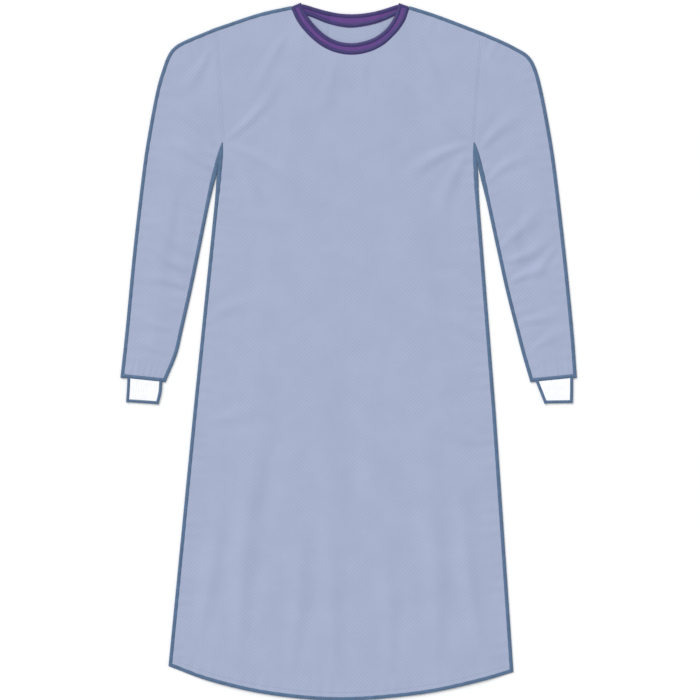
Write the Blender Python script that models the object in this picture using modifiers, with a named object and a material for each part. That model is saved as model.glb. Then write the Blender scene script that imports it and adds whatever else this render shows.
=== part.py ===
"""A surgical gown laid out flat, front up, with its neck towards +Y.

The gown is ten sewn pieces: a front, two back panels that lap at the middle of the back, two set-in
sleeves, two knitted cuffs, a neck binding and two waist ties. Left and right are as seen from above.
Each piece is a thin wall on its own surface. Sizes and tables are in millimetres, and MM turns them
into metres. Z is the height above the surface that the gown lies on.
"""

import bmesh
import bpy
import numpy as np

MM = 0.001

# Thicknesses of the walls, and the space kept between pieces
CLOTH = 1.2
BINDING = 1.6
TIE = 1.0
KNIT = 1.4
RIB_HEIGHT = 0.5
SEAM_GAP = 0.3
FOLD_NARROWING = 1.9
CUFF_GAP = 0.4

# How far the upper layer stands off the lower one inside the edges, and the lengths of its low waves
LOFT = 1.2
LOFT_REACH = 70.0
WAVE_HEIGHT = 0.5
WAVE_ACROSS = 71.0
WAVE_SLANT = 190.0
WAVE_DOWN = 97.0
WAVE_START = 0.8

# The lap of the back panels: half its width at the neck and at the hem, and the room beside it for a tie
LAP_NECK = 40.0
LAP_HEM = 110.0
TIE_ROOM_NECK = 12.0
TIE_ROOM_HEM = 100.0
LAP_STEP = 15.0
COVER_MARGIN_NECK = 10.0
COVER_MARGIN_HEM = 35.0
COVER_RAMP_NECK = 28.0
COVER_RAMP_HEM = 40.0

# The neck: its middle, the height of its two upper corners and the height of the waist ties
NECK_MIDDLE = 2.8
NECK_TOP = 651.0
WAIST = 200.0

# Grid steps, and how they are spread: the share of a panel's rows below the armpits, and the power that
# makes a sleeve's steps shorter near the armhole
ROWS_BELOW_ARMPIT = 18
ROWS_ABOVE_ARMPIT = 5
ARMPIT_SHARE = 0.826
SHOULDER_STEPS = 4
SLEEVE_STEPS = 18
SLEEVE_SPREAD = 1.5
SLEEVE_ACROSS = 7
FOLD_STEPS = 3
CUFF_STEPS = 4
CUFF_RIBS = 12
CURVE_SAMPLES = 12
HEM_SAMPLES = 40
EDGE_SAMPLES = 60
SHARP_ANGLE = 40.0

# Body sides: height, distance of the left and right edge from the middle line
SIDE_SEAM = (
    (-600.0, 335.0, 304.5),
    (-110.0, 287.0, 271.0),
    (300.0, 245.0, 239.0),
    (391.0, 237.0, 235.0),
)
# Shoulder seams: distance from the middle line, height of the left and right seam
SHOULDER_SEAM = (
    (169.0, 629.0, 625.0),
    (250.0, 602.0, 594.0),
)
# Hem: place across the gown, height
HEM = (
    (-334.0, -587.0),
    (-267.0, -612.0),
    (-177.0, -634.5),
    (-87.0, -647.0),
    (-8.0, -650.5),
    (70.0, -646.0),
    (160.0, -634.5),
    (250.0, -614.0),
    (304.5, -598.0),
)
HEM_LOWEST = min(height for across, height in HEM)
# Outer fold of the sleeve below the shoulder: height, distance of the left and right fold
SLEEVE_FOLD = (
    (578.0, 307.0, 287.0),
    (566.0, 326.0, 311.0),
    (552.0, 336.0, 333.5),
    (530.0, 344.5, 347.0),
    (489.0, 356.5, 358.5),
    (414.0, 371.0, 373.0),
    (339.0, 382.5, 384.5),
    (189.0, 400.0, 402.0),
    (39.0, 414.5, 417.0),
    (-48.0, 424.0, 423.5),
)
# Underarm edge of the sleeve below the armpit: height, distance of the left and right edge
SLEEVE_UNDERARM = (
    (372.0, 242.0, 240.5),
    (302.0, 260.0, 257.5),
    (189.0, 283.0, 282.0),
    (114.0, 298.5, 298.5),
    (39.0, 315.5, 317.5),
    (-5.0, 326.0, 329.0),
    (-56.0, 347.0, 344.0),
)
# Cuff edges, from the sleeve's end to the mouth: drop below the sleeve's end and distance from the middle
# line, of the outer edge and then of the inner edge
CUFF_LEFT = (
    (0.0, 412.0, 0.0, 352.5),
    (22.0, 413.0, 21.0, 354.0),
    (44.0, 414.5, 42.0, 359.0),
)
CUFF_RIGHT = (
    (0.0, 417.5, 0.0, 353.0),
    (23.0, 417.5, 21.0, 361.0),
    (46.0, 417.0, 42.0, 369.0),
)
# Neck, from the left shoulder to the right one: place across from the middle and drop below the top, of
# the seam where the binding meets the cloth and of the binding's free edge
NECK_FRONT = (
    (-111.0, 8.0, -92.0, 0.0),
    (-100.0, 31.5, -81.0, 21.5),
    (-83.0, 54.0, -66.0, 41.0),
    (-58.5, 76.0, -46.0, 59.0),
    (-31.0, 90.0, -24.0, 70.0),
    (0.0, 95.5, 0.0, 74.0),
    (31.0, 91.5, 24.0, 71.0),
    (60.0, 78.5, 48.0, 62.0),
    (85.0, 56.0, 69.0, 45.0),
    (102.0, 32.5, 83.0, 23.5),
    (111.0, 8.0, 90.5, 1.0),
)
NECK_BACK = (
    (-111.0, 8.0, -92.0, 0.0),
    (-90.0, 18.0, -80.0, 3.0),
    (-69.0, 26.0, -64.0, 8.0),
    (-47.0, 35.0, -44.0, 13.5),
    (-24.0, 41.5, -22.0, 18.0),
    (0.0, 44.5, 0.0, 19.5),
    (24.0, 42.0, 22.0, 18.5),
    (47.0, 37.0, 44.0, 15.0),
    (69.0, 29.0, 64.0, 9.5),
    (90.0, 18.5, 79.0, 4.5),
    (111.0, 8.0, 90.5, 1.0),
)
NECK_END = len(NECK_FRONT) // 2
# The steps along the neck tables where each panel has a grid line; negative steps lie to the left
FRONT_NECK_STEPS = np.linspace(-NECK_END, NECK_END, 19)
LAP_NECK_STEP = 1.7
LAP_ROOM_STEP = 2.2
LAP_STEP_END = 2.9
OUTER_BACK_NECK_STEPS = np.linspace(-NECK_END, LAP_NECK_STEP, 12)
INNER_BACK_LAP_STEPS = np.linspace(-LAP_NECK_STEP, LAP_ROOM_STEP, 8)
INNER_BACK_NECK_STEPS = np.linspace(LAP_STEP_END, NECK_END, 5)

# Waist tie, beside the free edge that it is sewn to: drop and distance of its near side, then its far side
WAIST_TIE = (
    (34.0, SEAM_GAP, 0.0, SEAM_GAP),
    (60.0, 10.0, 34.0, 26.0),
    (100.0, 17.0, 88.0, 36.0),
    (160.0, 21.0, 158.0, 41.0),
    (390.0, 28.0, 389.0, 48.0),
    (620.0, 36.0, 620.0, 56.0),
)
TIE_STEPS = 16

# Colours as linear RGB, roughness
SMS_CLOTH = ("gown_cloth", (0.386, 0.440, 0.604, 1.0), 0.75)
BINDING_CLOTH = ("binding_cloth", (0.089, 0.055, 0.191, 1.0), 0.7)
KNIT_CLOTH = ("cuff_knit", (0.90, 0.90, 0.91, 1.0), 0.85)


def smooth(rows, steps):
    """Reads a table at the given steps, along a smooth curve through its rows."""
    rows = np.asarray(rows, float)
    steps = np.asarray(steps, float)
    low = np.clip(steps.astype(int), 0, len(rows) - 2)
    part = (steps - low)[..., None]
    slopes = np.gradient(rows, axis=0)
    start = (1 + 2 * part) * (1 - part) ** 2
    end = part**2 * (3 - 2 * part)
    leaving = part * (1 - part) ** 2
    arriving = part**2 * (part - 1)
    return start * rows[low] + end * rows[low + 1] + leaving * slopes[low] + arriving * slopes[low + 1]


def along(rows, shares):
    """Points at the given shares of the length of the smooth curve through the rows."""
    dense = smooth(rows, np.linspace(0, len(rows) - 1, CURVE_SAMPLES * len(rows)))
    steps = np.linalg.norm(np.diff(dense, axis=0), axis=1)
    run = np.concatenate([[0.0], np.cumsum(steps)])
    where = np.asarray(shares) * run[-1]
    return np.stack([np.interp(where, run, dense[:, axis]) for axis in (0, 1)], axis=-1)


def blend(value):
    """Rises smoothly from 0 to 1 as the value does."""
    value = np.clip(value, 0.0, 1.0)
    return value * value * (3 - 2 * value)


def hem_height(across):
    """Height of the hem at a place across the gown."""
    curve = along(HEM, np.linspace(0, 1, HEM_SAMPLES))
    return np.interp(across, curve[:, 0], curve[:, 1])


def side_across(heights, side):
    """The body's edge, side seam and armhole, at the given heights. The side is -1 or 1."""
    column = 1 if side < 0 else 2
    shoulder = SHOULDER_SEAM[-1]
    rows = SIDE_SEAM + ((shoulder[column], shoulder[0], shoulder[0]),)
    table = np.array(rows)
    return side * np.interp(heights, table[:, 0], table[:, column])


def hem_corner(side):
    """The corner where the hem meets a side seam."""
    return np.array(HEM[0] if side < 0 else HEM[-1])


def shoulder_point(side):
    """The outer end of a shoulder seam, where the sleeve's top meets it."""
    return np.array([side * SHOULDER_SEAM[-1][0], SHOULDER_SEAM[-1][1 if side < 0 else 2]])


def armpit(side):
    """The lower end of the armhole."""
    return np.array([side * SIDE_SEAM[-1][1 if side < 0 else 2], SIDE_SEAM[-1][0]])


def neck_points(table, steps):
    """The neck's seam points and free edge points at signed steps along a neck table."""
    read = smooth(table, np.asarray(steps, float) + NECK_END)
    seam = np.stack([NECK_MIDDLE + read[:, 0], NECK_TOP - read[:, 1]], axis=-1)
    edge = np.stack([NECK_MIDDLE + read[:, 2], NECK_TOP - read[:, 3]], axis=-1)
    return seam, edge


def shoulder_points(side):
    """Points of a shoulder seam from its outer end to the neck, without the neck's own point."""
    neck = neck_points(NECK_FRONT, [side * NECK_END])[0][0]
    column = 1 if side < 0 else 2
    rows = [(side * row[0], row[column]) for row in reversed(SHOULDER_SEAM)] + [tuple(neck)]
    return along(rows, np.linspace(0, 1, SHOULDER_STEPS + 1))[:-1]


def sleeve_edges(side, shares):
    """Points of a sleeve's outer fold and underarm edge, from the armhole to the wrist."""
    column = 1 if side < 0 else 2
    fold = [tuple(shoulder_point(side))] + [(side * row[column], row[0]) for row in SLEEVE_FOLD]
    under = [tuple(armpit(side))] + [(side * row[column], row[0]) for row in SLEEVE_UNDERARM]
    return along(fold, shares), along(under, shares)


def between_neck_and_hem(height, at_neck, at_hem):
    """A size that changes evenly from the hem's lowest point to the neck's top."""
    share = (height - HEM_LOWEST) / (NECK_TOP - HEM_LOWEST)
    return at_hem + (at_neck - at_hem) * np.clip(share, 0.0, 1.0)


def outline():
    """The closed outline of the gown seen from above, with the front's neck edge."""
    shares = np.linspace(0, 1, EDGE_SAMPLES)
    loop = [along(HEM, shares)]
    for side in (1, -1):
        fold, under = sleeve_edges(side, shares)
        limb = [armpit(side)[None], under, fold[::-1], shoulder_points(side)]
        loop.append(np.concatenate(limb if side > 0 else [part[::-1] for part in reversed(limb)]))
        if side > 0:
            loop.append(neck_points(NECK_FRONT, FRONT_NECK_STEPS[::-1])[1])
    return np.concatenate(loop)


OUTLINE = outline()


def edge_distance(plan):
    """Distance of each plan point from the gown's outline."""
    starts = OUTLINE
    ends = np.roll(OUTLINE, -1, axis=0)
    sides = ends - starts
    lengths = np.maximum((sides**2).sum(axis=1), 1e-9)
    offset = plan[..., None, :] - starts
    share = np.clip((offset * sides).sum(axis=-1) / lengths, 0.0, 1.0)
    return np.linalg.norm(offset - share[..., None] * sides, axis=-1).min(axis=-1)


def upper_level(plan):
    """Height of the underside of the upper layer: on the back at the edges, over the lap in the middle."""
    across = np.abs(plan[..., 0])
    height = plan[..., 1]
    inner = between_neck_and_hem(
        height,
        LAP_NECK + TIE_ROOM_NECK + LAP_STEP + COVER_MARGIN_NECK,
        LAP_HEM + TIE_ROOM_HEM + LAP_STEP + COVER_MARGIN_HEM,
    )
    ramp = between_neck_and_hem(height, COVER_RAMP_NECK, COVER_RAMP_HEM)
    cover = np.clip((inner + ramp - across) / ramp, 0.0, 1.0)
    inside = blend(edge_distance(plan) / LOFT_REACH)
    slanted = np.sin(plan[..., 0] / WAVE_ACROSS + height / WAVE_SLANT)
    wave = slanted * np.sin(height / WAVE_DOWN + WAVE_START)
    layers = 1.0 + cover
    return layers * (CLOTH + SEAM_GAP) + inside * (LOFT + WAVE_HEIGHT * wave)


def new_material(finish):
    """The material of that name, made once."""
    name, colour, roughness = finish
    if name in bpy.data.materials:
        return bpy.data.materials[name]
    material = bpy.data.materials.new(name)
    material.use_nodes = True
    shader = material.node_tree.nodes["Principled BSDF"]
    shader.inputs["Base Color"].default_value = colour
    shader.inputs["Roughness"].default_value = roughness
    shader.inputs["Metallic"].default_value = 0.0
    return material


def new_wall(name, points, finish, thickness, offset, closed=False, weights=None):
    """An object whose surface has the given points, in rows, thickened to a wall.

    An offset of 1 thickens it to the outside, -1 to the inside. A closed surface joins its last column
    to its first. Weights give each column's share of the thickness.
    """
    rows, columns = points.shape[:2]
    mesh = bpy.data.meshes.new(name)
    grid = bmesh.new()
    bmesh.ops.create_grid(grid, x_segments=columns - 1, y_segments=rows - 1, size=1.0)
    grid.verts.ensure_lookup_table()
    column_of = {}
    for vertex in grid.verts:
        column = round((vertex.co.x + 1) / 2 * (columns - 1))
        row = round((vertex.co.y + 1) / 2 * (rows - 1))
        vertex.co = points[row, column] * MM
        column_of[vertex.index] = column
    grid.to_mesh(mesh)
    grid.free()
    wall = bpy.data.objects.new(name, mesh)
    if weights is not None:
        group = wall.vertex_groups.new(name="thickness")
        for index, column in column_of.items():
            group.add([index], float(weights[column]), "REPLACE")
    if closed:
        weld = wall.modifiers.new("close the tube", "WELD")
        weld.merge_threshold = 0.00001
    solid = wall.modifiers.new("wall", "SOLIDIFY")
    solid.thickness = thickness * MM
    solid.offset = offset
    if weights is not None:
        solid.vertex_group = "thickness"
    mesh.materials.append(new_material(finish))
    mesh.shade_smooth()
    mesh.set_sharp_from_angle(angle=np.radians(SHARP_ANGLE))
    return wall


def body_grid(hem, top, left_weights, right_weights):
    """Plan points of a panel: straight lines from hem to top, with the outer ones bent to the body's edge.

    The weights say how far each line follows the left and the right edge. One row runs through the armpits.
    """
    below = np.linspace(0, ARMPIT_SHARE, ROWS_BELOW_ARMPIT + 1)
    above = np.linspace(ARMPIT_SHARE, 1, ROWS_ABOVE_ARMPIT + 1)
    shares = np.concatenate([below, above[1:]])
    plan = hem + (top - hem) * shares[:, None, None]
    for side, weights in ((-1, left_weights), (1, right_weights)):
        low, high = hem_corner(side), shoulder_point(side)
        straight = low + (high - low) * shares[:, None]
        heights = np.interp(shares, (0, ARMPIT_SHARE, 1), (low[1], armpit(side)[1], high[1]))
        edge = np.stack([side_across(heights, side), heights], axis=-1)
        plan += (edge - straight)[:, None, :] * weights[:, None]
    return plan


def with_height(plan, height):
    """Plan points raised to a height."""
    return np.concatenate([plan, np.broadcast_to(height, plan.shape[:-1])[..., None]], axis=-1)


def hem_points(places):
    """Points on the hem at the given places across the gown."""
    return np.stack([places, hem_height(places)], axis=-1)


def make_front():
    """The front panel, which lies over both back panels."""
    neck = neck_points(NECK_FRONT, FRONT_NECK_STEPS)[0]
    top = np.concatenate([shoulder_points(-1), neck, shoulder_points(1)[::-1]])
    hem = hem_points(np.linspace(hem_corner(-1)[0], hem_corner(1)[0], len(top)))
    share = np.linspace(0, 1, len(top))
    plan = body_grid(hem, top, (1 - share) ** 2, share**2)
    return new_wall("front", with_height(plan, upper_level(plan)), SMS_CLOTH, CLOTH, 1)


def make_outer_back():
    """The left back panel. It is outermost, so it lies flat, and it reaches past the middle."""
    neck = neck_points(NECK_BACK, OUTER_BACK_NECK_STEPS)[0]
    top = np.concatenate([shoulder_points(-1), neck])
    hem = hem_points(np.linspace(hem_corner(-1)[0], LAP_HEM, len(top)))
    share = np.linspace(0, 1, len(top))
    plan = body_grid(hem, top, (1 - share) ** 2, 0 * share)
    return new_wall("back_left", with_height(plan, 0.0), SMS_CLOTH, CLOTH, 1)


def make_inner_back():
    """The right back panel. It laps over the left one's free edge and comes down beside it."""
    lap = neck_points(NECK_BACK, INNER_BACK_LAP_STEPS)[0]
    rest = neck_points(NECK_BACK, INNER_BACK_NECK_STEPS)[0]
    shoulder = shoulder_points(1)[::-1]
    top = np.concatenate([lap, rest, shoulder])
    lap_hem = np.linspace(-LAP_HEM, LAP_HEM + TIE_ROOM_HEM, len(lap))
    flat_hem = np.linspace(LAP_HEM + TIE_ROOM_HEM + LAP_STEP, hem_corner(1)[0], len(rest) + len(shoulder))
    hem = hem_points(np.concatenate([lap_hem, flat_hem]))
    weights = np.concatenate([0 * lap_hem, np.linspace(0, 1, len(flat_hem)) ** 2])
    plan = body_grid(hem, top, 0 * weights, weights)
    level = np.where(np.arange(len(top)) < len(lap), CLOTH + SEAM_GAP, 0.0)
    return new_wall("back_right", with_height(plan, level), SMS_CLOTH, CLOTH, 1)


def flat_ring(start, end, lower, upper_of, across):
    """One section of a flattened tube: its lower layer, a rounded edge, its upper layer, a rounded edge.

    The section runs from start to end in plan. Lower is the height of the lower layer, and upper_of
    gives that of the upper layer at plan points.
    """
    width = np.linalg.norm(end - start)
    way = (end - start) / width
    radii = [(upper_of(point) - lower) / 2 for point in (start, end)]
    places = np.linspace(radii[0], width - radii[1], across + 1)
    flat = start + way * places[:, None]
    turns = np.linspace(-np.pi / 2, np.pi / 2, FOLD_STEPS + 1)[1:-1]
    ring = [with_height(flat, lower)]
    for plan, outward, radius in ((flat[-1], way, radii[1]), (flat[0], -way, radii[0])):
        edge = plan + outward * (radius * np.cos(turns))[:, None]
        level = lower + radius + radius * np.sin(turns)
        rounded = with_height(edge, level)
        if outward is way:
            ring.append(rounded)
            ring.append(with_height(flat[::-1], upper_of(flat[::-1])))
        else:
            ring.append(rounded[::-1])
    ring.append(ring[0][:1])
    return np.concatenate(ring)


def make_sleeve(side):
    """A set-in sleeve: a flattened tube with a fold at its top and a seam under the arm."""
    shares = np.linspace(0, 1, SLEEVE_STEPS + 1) ** SLEEVE_SPREAD
    fold, under = sleeve_edges(side, shares)
    away = np.array([side * SEAM_GAP, 0.0])
    rings = []
    for index, (outer, inner) in enumerate(zip(fold, under)):
        shift = away if index == 0 else 0.0
        start, end = (outer, inner) if side < 0 else (inner, outer)
        rings.append(flat_ring(start + shift, end + shift, 0.0, sleeve_top, SLEEVE_ACROSS))
    name = "sleeve_left" if side < 0 else "sleeve_right"
    return new_wall(name, np.array(rings), SMS_CLOTH, CLOTH, -1, closed=True)


def sleeve_top(plan):
    """Height of the outside of a sleeve's upper layer."""
    return upper_level(plan) + CLOTH


def make_cuff(side):
    """A knitted cuff: a flattened tube, ribbed on its upper side and flat under it."""
    table = np.array(CUFF_LEFT if side < 0 else CUFF_RIGHT)
    read = smooth(table, np.linspace(0, len(table) - 1, CUFF_STEPS + 1))
    column = 1 if side < 0 else 2
    wrist = sorted((row[column], row[0]) for row in (SLEEVE_FOLD[-1], SLEEVE_UNDERARM[-1]))
    edges = []
    for drop, distance in ((read[:, 0], read[:, 1]), (read[:, 2], read[:, 3])):
        sleeve_end = np.interp(distance, *zip(*wrist))
        edges.append(np.stack([side * distance, sleeve_end - CUFF_GAP - drop], axis=-1))
    steps_across = 2 * CUFF_RIBS
    rings = []
    for outer, inner in zip(*edges):
        start, end = (outer, inner) if side < 0 else (inner, outer)
        way = (end - start) / np.linalg.norm(end - start)
        rings.append(flat_ring(start + way * KNIT, end - way * KNIT, KNIT, knit_top, steps_across))
    trough = KNIT / (KNIT + RIB_HEIGHT)
    weights = np.full(len(rings[0]), trough)
    upper_start = steps_across + FOLD_STEPS
    weights[upper_start + 1 : upper_start + steps_across : 2] = 1.0
    name = "cuff_left" if side < 0 else "cuff_right"
    return new_wall(name, np.array(rings), KNIT_CLOTH, KNIT + RIB_HEIGHT, 1, closed=True, weights=weights)


def knit_top(plan):
    """Height of the inside of a cuff's upper layer."""
    return np.full(plan.shape[:-1], KNIT + SEAM_GAP)


def binding_stretch(table, steps):
    """Edge points and seam points of a stretch of binding, with the seam's gap kept free."""
    seam, edge = neck_points(table, steps)
    way = edge - seam
    way /= np.linalg.norm(way, axis=1, keepdims=True)
    return edge, seam + way * SEAM_GAP


def binding_rows(edge, seam, level):
    """Rows of three points across the binding, at the given heights."""
    middle = (edge + seam) / 2
    plan = np.stack([edge, middle, seam], axis=1)
    return with_height(plan, np.asarray(level, float).reshape(-1, 1))


def binding_fold(edge, seam, top, side):
    """Rows that turn the binding from its lower layer to its upper layer at a shoulder.

    The back seam leaves the shoulder at a flatter angle than the front seam, so the lower layer is
    narrowed there to stay clear of it.
    """
    across = seam - edge
    along_fold = across / np.linalg.norm(across)
    outward = side * np.array([-along_fold[1], along_fold[0]])
    radius = top / 2
    rows = []
    for share in np.linspace(0, 1, FOLD_STEPS + 2):
        turn = np.pi * (share - 0.5)
        shift = outward * radius * (np.cos(turn) - 1)
        narrowed = seam - along_fold * FOLD_NARROWING * (1 - share)
        level = radius + radius * np.sin(turn)
        rows.append(binding_rows((edge + shift)[None], (narrowed + shift)[None], [level]))
    return np.concatenate(rows)


def make_binding():
    """The neck binding: one strip round the neck, with its right end lapped over its left end."""
    lower = binding_stretch(NECK_BACK, OUTER_BACK_NECK_STEPS[:0:-1])
    front = binding_stretch(NECK_FRONT, FRONT_NECK_STEPS[1:-1])
    right_steps = np.concatenate([INNER_BACK_LAP_STEPS, INNER_BACK_NECK_STEPS])[::-1]
    upper = binding_stretch(NECK_BACK, right_steps[1:])
    lifted = np.where(right_steps[1:] <= LAP_ROOM_STEP, BINDING + SEAM_GAP, 0.0)
    top = 2 * BINDING + SEAM_GAP
    middle = np.stack([front[0], front[1]]).mean(axis=0)
    front_level = np.maximum(upper_level(middle), BINDING + SEAM_GAP) + BINDING
    left_corner = [part[0] for part in binding_stretch(NECK_FRONT, [-NECK_END])]
    right_corner = [part[0] for part in binding_stretch(NECK_FRONT, [NECK_END])]
    left_fold = binding_fold(*left_corner, top, -1)
    right_fold = binding_fold(*right_corner, top, 1)[::-1]
    rows = [
        binding_rows(*lower, np.zeros(len(lower[0]))),
        left_fold,
        binding_rows(*front, front_level),
        right_fold,
        binding_rows(*upper, lifted),
    ]
    return new_wall("neck_binding", np.concatenate(rows), BINDING_CLOTH, BINDING, -1)


def lap_edge(heights, side):
    """The free edge of the back panel that ends on the given side, at the given heights."""
    neck = neck_points(NECK_BACK, [side * LAP_NECK_STEP])[0][0]
    low = np.array([side * LAP_HEM, hem_height(side * LAP_HEM)])
    share = (heights - low[1]) / (neck[1] - low[1])
    return low[0] + (neck[0] - low[0]) * share


def make_tie(name, side, level):
    """A waist tie, sewn to the free edge on the given side and lying down beside it."""
    read = smooth(WAIST_TIE, np.linspace(0, len(WAIST_TIE) - 1, TIE_STEPS + 1))
    sides = []
    for drop, away in ((read[:, 0], read[:, 1]), (read[:, 2], read[:, 3])):
        heights = WAIST - drop
        sides.append(np.stack([lap_edge(heights, side) + side * away, heights], axis=-1))
    near, far = sides if side < 0 else sides[::-1]
    plan = np.stack([near, far], axis=1)
    return new_wall(name, with_height(plan, level), SMS_CLOTH, TIE, 1)


def clear_scene():
    """Removes the scene's objects."""
    for old in list(bpy.data.objects):
        bpy.data.objects.remove(old)


def main():
    """Builds the gown's pieces in a collection of their own."""
    clear_scene()
    gown = bpy.data.collections.new("surgical_gown")
    bpy.context.scene.collection.children.link(gown)
    place = bpy.data.objects.new("gown_place", None)
    gown.objects.link(place)
    pieces = [
        make_front(),
        make_outer_back(),
        make_inner_back(),
        make_sleeve(-1),
        make_sleeve(1),
        make_cuff(-1),
        make_cuff(1),
        make_binding(),
        make_tie("waist_tie_outer", 1, 0.0),
        make_tie("waist_tie_inner", -1, CLOTH + SEAM_GAP),
    ]
    for piece in pieces:
        gown.objects.link(piece)
        piece.parent = place


main()
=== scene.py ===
"""Surgical gown laid out flat, front up, seen from straight above with its neck at the top of the picture.

Each sewn piece is a thin shell on the form of its solid, cut from the same sizes: a front, two back
panels that lap at the middle of the back, two sleeves, two rib knit cuffs, a neck binding and two
waist ties. Soft creases are placed one by one. The sewing is made as thread: overlocked seams round the
edges and rows of stitches. Sizes and tables are in millimetres, and MM turns them into metres.
"""

import logging
import math
from dataclasses import dataclass, field
from enum import Enum

import bpy
import numpy as np
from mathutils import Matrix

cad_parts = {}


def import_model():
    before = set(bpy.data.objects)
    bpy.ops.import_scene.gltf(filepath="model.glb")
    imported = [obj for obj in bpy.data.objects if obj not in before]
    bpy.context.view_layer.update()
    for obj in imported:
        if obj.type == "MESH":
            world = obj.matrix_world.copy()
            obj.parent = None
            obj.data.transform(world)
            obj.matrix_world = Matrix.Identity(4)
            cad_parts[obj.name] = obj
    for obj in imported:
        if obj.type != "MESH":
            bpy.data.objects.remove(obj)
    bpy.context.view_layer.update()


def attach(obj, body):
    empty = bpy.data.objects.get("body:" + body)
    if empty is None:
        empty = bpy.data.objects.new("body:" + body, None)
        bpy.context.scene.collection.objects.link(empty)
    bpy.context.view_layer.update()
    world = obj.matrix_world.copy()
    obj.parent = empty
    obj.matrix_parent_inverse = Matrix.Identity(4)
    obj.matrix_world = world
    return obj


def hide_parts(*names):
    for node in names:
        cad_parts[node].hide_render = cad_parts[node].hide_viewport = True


MM = 0.001
BODY = "root"
Rows = tuple[tuple[float, ...], ...]
logger = logging.getLogger("surgical_gown")


class Side(Enum):
    """Left and right as seen from above, with the neck away."""

    LEFT = -1
    RIGHT = 1

    @property
    def label(self) -> str:
        """The side's name as a word in a piece's name."""
        return self.name.lower()


# Shaders


def linear(colour: str, strength: float = 1.0) -> tuple[float, float, float, float]:
    """Turns an sRGB hex colour into a linear one.

    Args:
        colour: The colour as six hex digits after a hash sign.
        strength: What the linear values are multiplied by.

    Returns:
        Red, green, blue and an alpha of 1.
    """
    shares = [int(colour[place : place + 2], 16) / 255 for place in (1, 3, 5)]
    values = [s / 12.92 if s <= 0.04045 else ((s + 0.055) / 1.055) ** 2.4 for s in shares]
    return (values[0] * strength, values[1] * strength, values[2] * strength, 1.0)


def add_node(
    tree: bpy.types.NodeTree,
    kind: str,
    settings: dict[str | int, object] | None = None,
    links: dict[str | int, bpy.types.NodeSocket] | None = None,
) -> bpy.types.Node:
    """Adds a node, with its settings and what feeds its sockets.

    Args:
        tree: The node tree that it goes into.
        kind: Blender's name of the node's type.
        settings: Values of the node's own properties or else of its input sockets, by name or number.
        links: Output sockets that feed its input sockets, by the input's name or number.

    Returns:
        The new node.
    """
    node = tree.nodes.new(kind)
    for key, value in (settings or {}).items():
        if isinstance(key, str) and hasattr(node, key):
            setattr(node, key, value)
        else:
            node.inputs[key].default_value = value
    for key, socket in (links or {}).items():
        tree.links.new(socket, node.inputs[key])
    return node


# The numbers of the colour sockets of a Mix node
MIX_FACTOR, MIX_A, MIX_B, MIX_RESULT = 0, 6, 7, 2


@dataclass(frozen=True)
class Finish:
    """A finish whose colour drifts softly between two tones, over a shader with typical values."""

    name: str
    light_tone: str
    dark_tone: str
    roughness: float
    ior: float
    sheen: float
    cloud_size: float

    def material(self) -> bpy.types.Material:
        """The material of this finish, made once."""
        if self.name in bpy.data.materials:
            return bpy.data.materials[self.name]
        material = bpy.data.materials.new(self.name)
        material.use_nodes = True
        tree = material.node_tree
        tree.nodes.clear()
        place = add_node(tree, "ShaderNodeTexCoord").outputs["Object"]
        clouds = add_node(
            tree,
            "ShaderNodeTexNoise",
            {"Scale": 1 / (self.cloud_size * MM), "Detail": 3.0, "Roughness": 0.55},
            {"Vector": place},
        )
        spread = add_node(
            tree,
            "ShaderNodeMapRange",
            {"From Min": 0.32, "From Max": 0.68},
            {"Value": clouds.outputs["Fac"]},
        )
        tones = add_node(
            tree,
            "ShaderNodeMix",
            {"data_type": "RGBA", MIX_A: linear(self.dark_tone), MIX_B: linear(self.light_tone)},
            {MIX_FACTOR: spread.outputs["Result"]},
        )
        colour, normal = self.relief(tree, place, tones.outputs[MIX_RESULT])
        shader = add_node(
            tree,
            "ShaderNodeBsdfPrincipled",
            {
                "Roughness": self.roughness,
                "Metallic": 0.0,
                "IOR": self.ior,
                "Sheen Weight": self.sheen,
                "Sheen Roughness": 0.5,
            },
            {"Base Color": colour, "Normal": normal},
        )
        add_node(tree, "ShaderNodeOutputMaterial", links={"Surface": shader.outputs["BSDF"]})
        return material

    def relief(
        self, tree: bpy.types.NodeTree, place: bpy.types.NodeSocket, colour: bpy.types.NodeSocket
    ) -> tuple[bpy.types.NodeSocket, bpy.types.NodeSocket]:
        """Adds the nodes of the fine relief.

        Args:
            tree: The material's node tree.
            place: The socket with the place on the object.
            colour: The socket with the colour so far.

        Returns:
            The sockets of the final colour and of the normal.
        """
        grain = add_node(
            tree, "ShaderNodeTexNoise", {"Scale": 1 / (3 * MM), "Detail": 2.0}, {"Vector": place}
        )
        bump = add_node(
            tree,
            "ShaderNodeBump",
            {"Strength": 0.3, "Distance": 0.3 * MM},
            {"Height": grain.outputs["Fac"]},
        )
        return colour, bump.outputs["Normal"]


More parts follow.
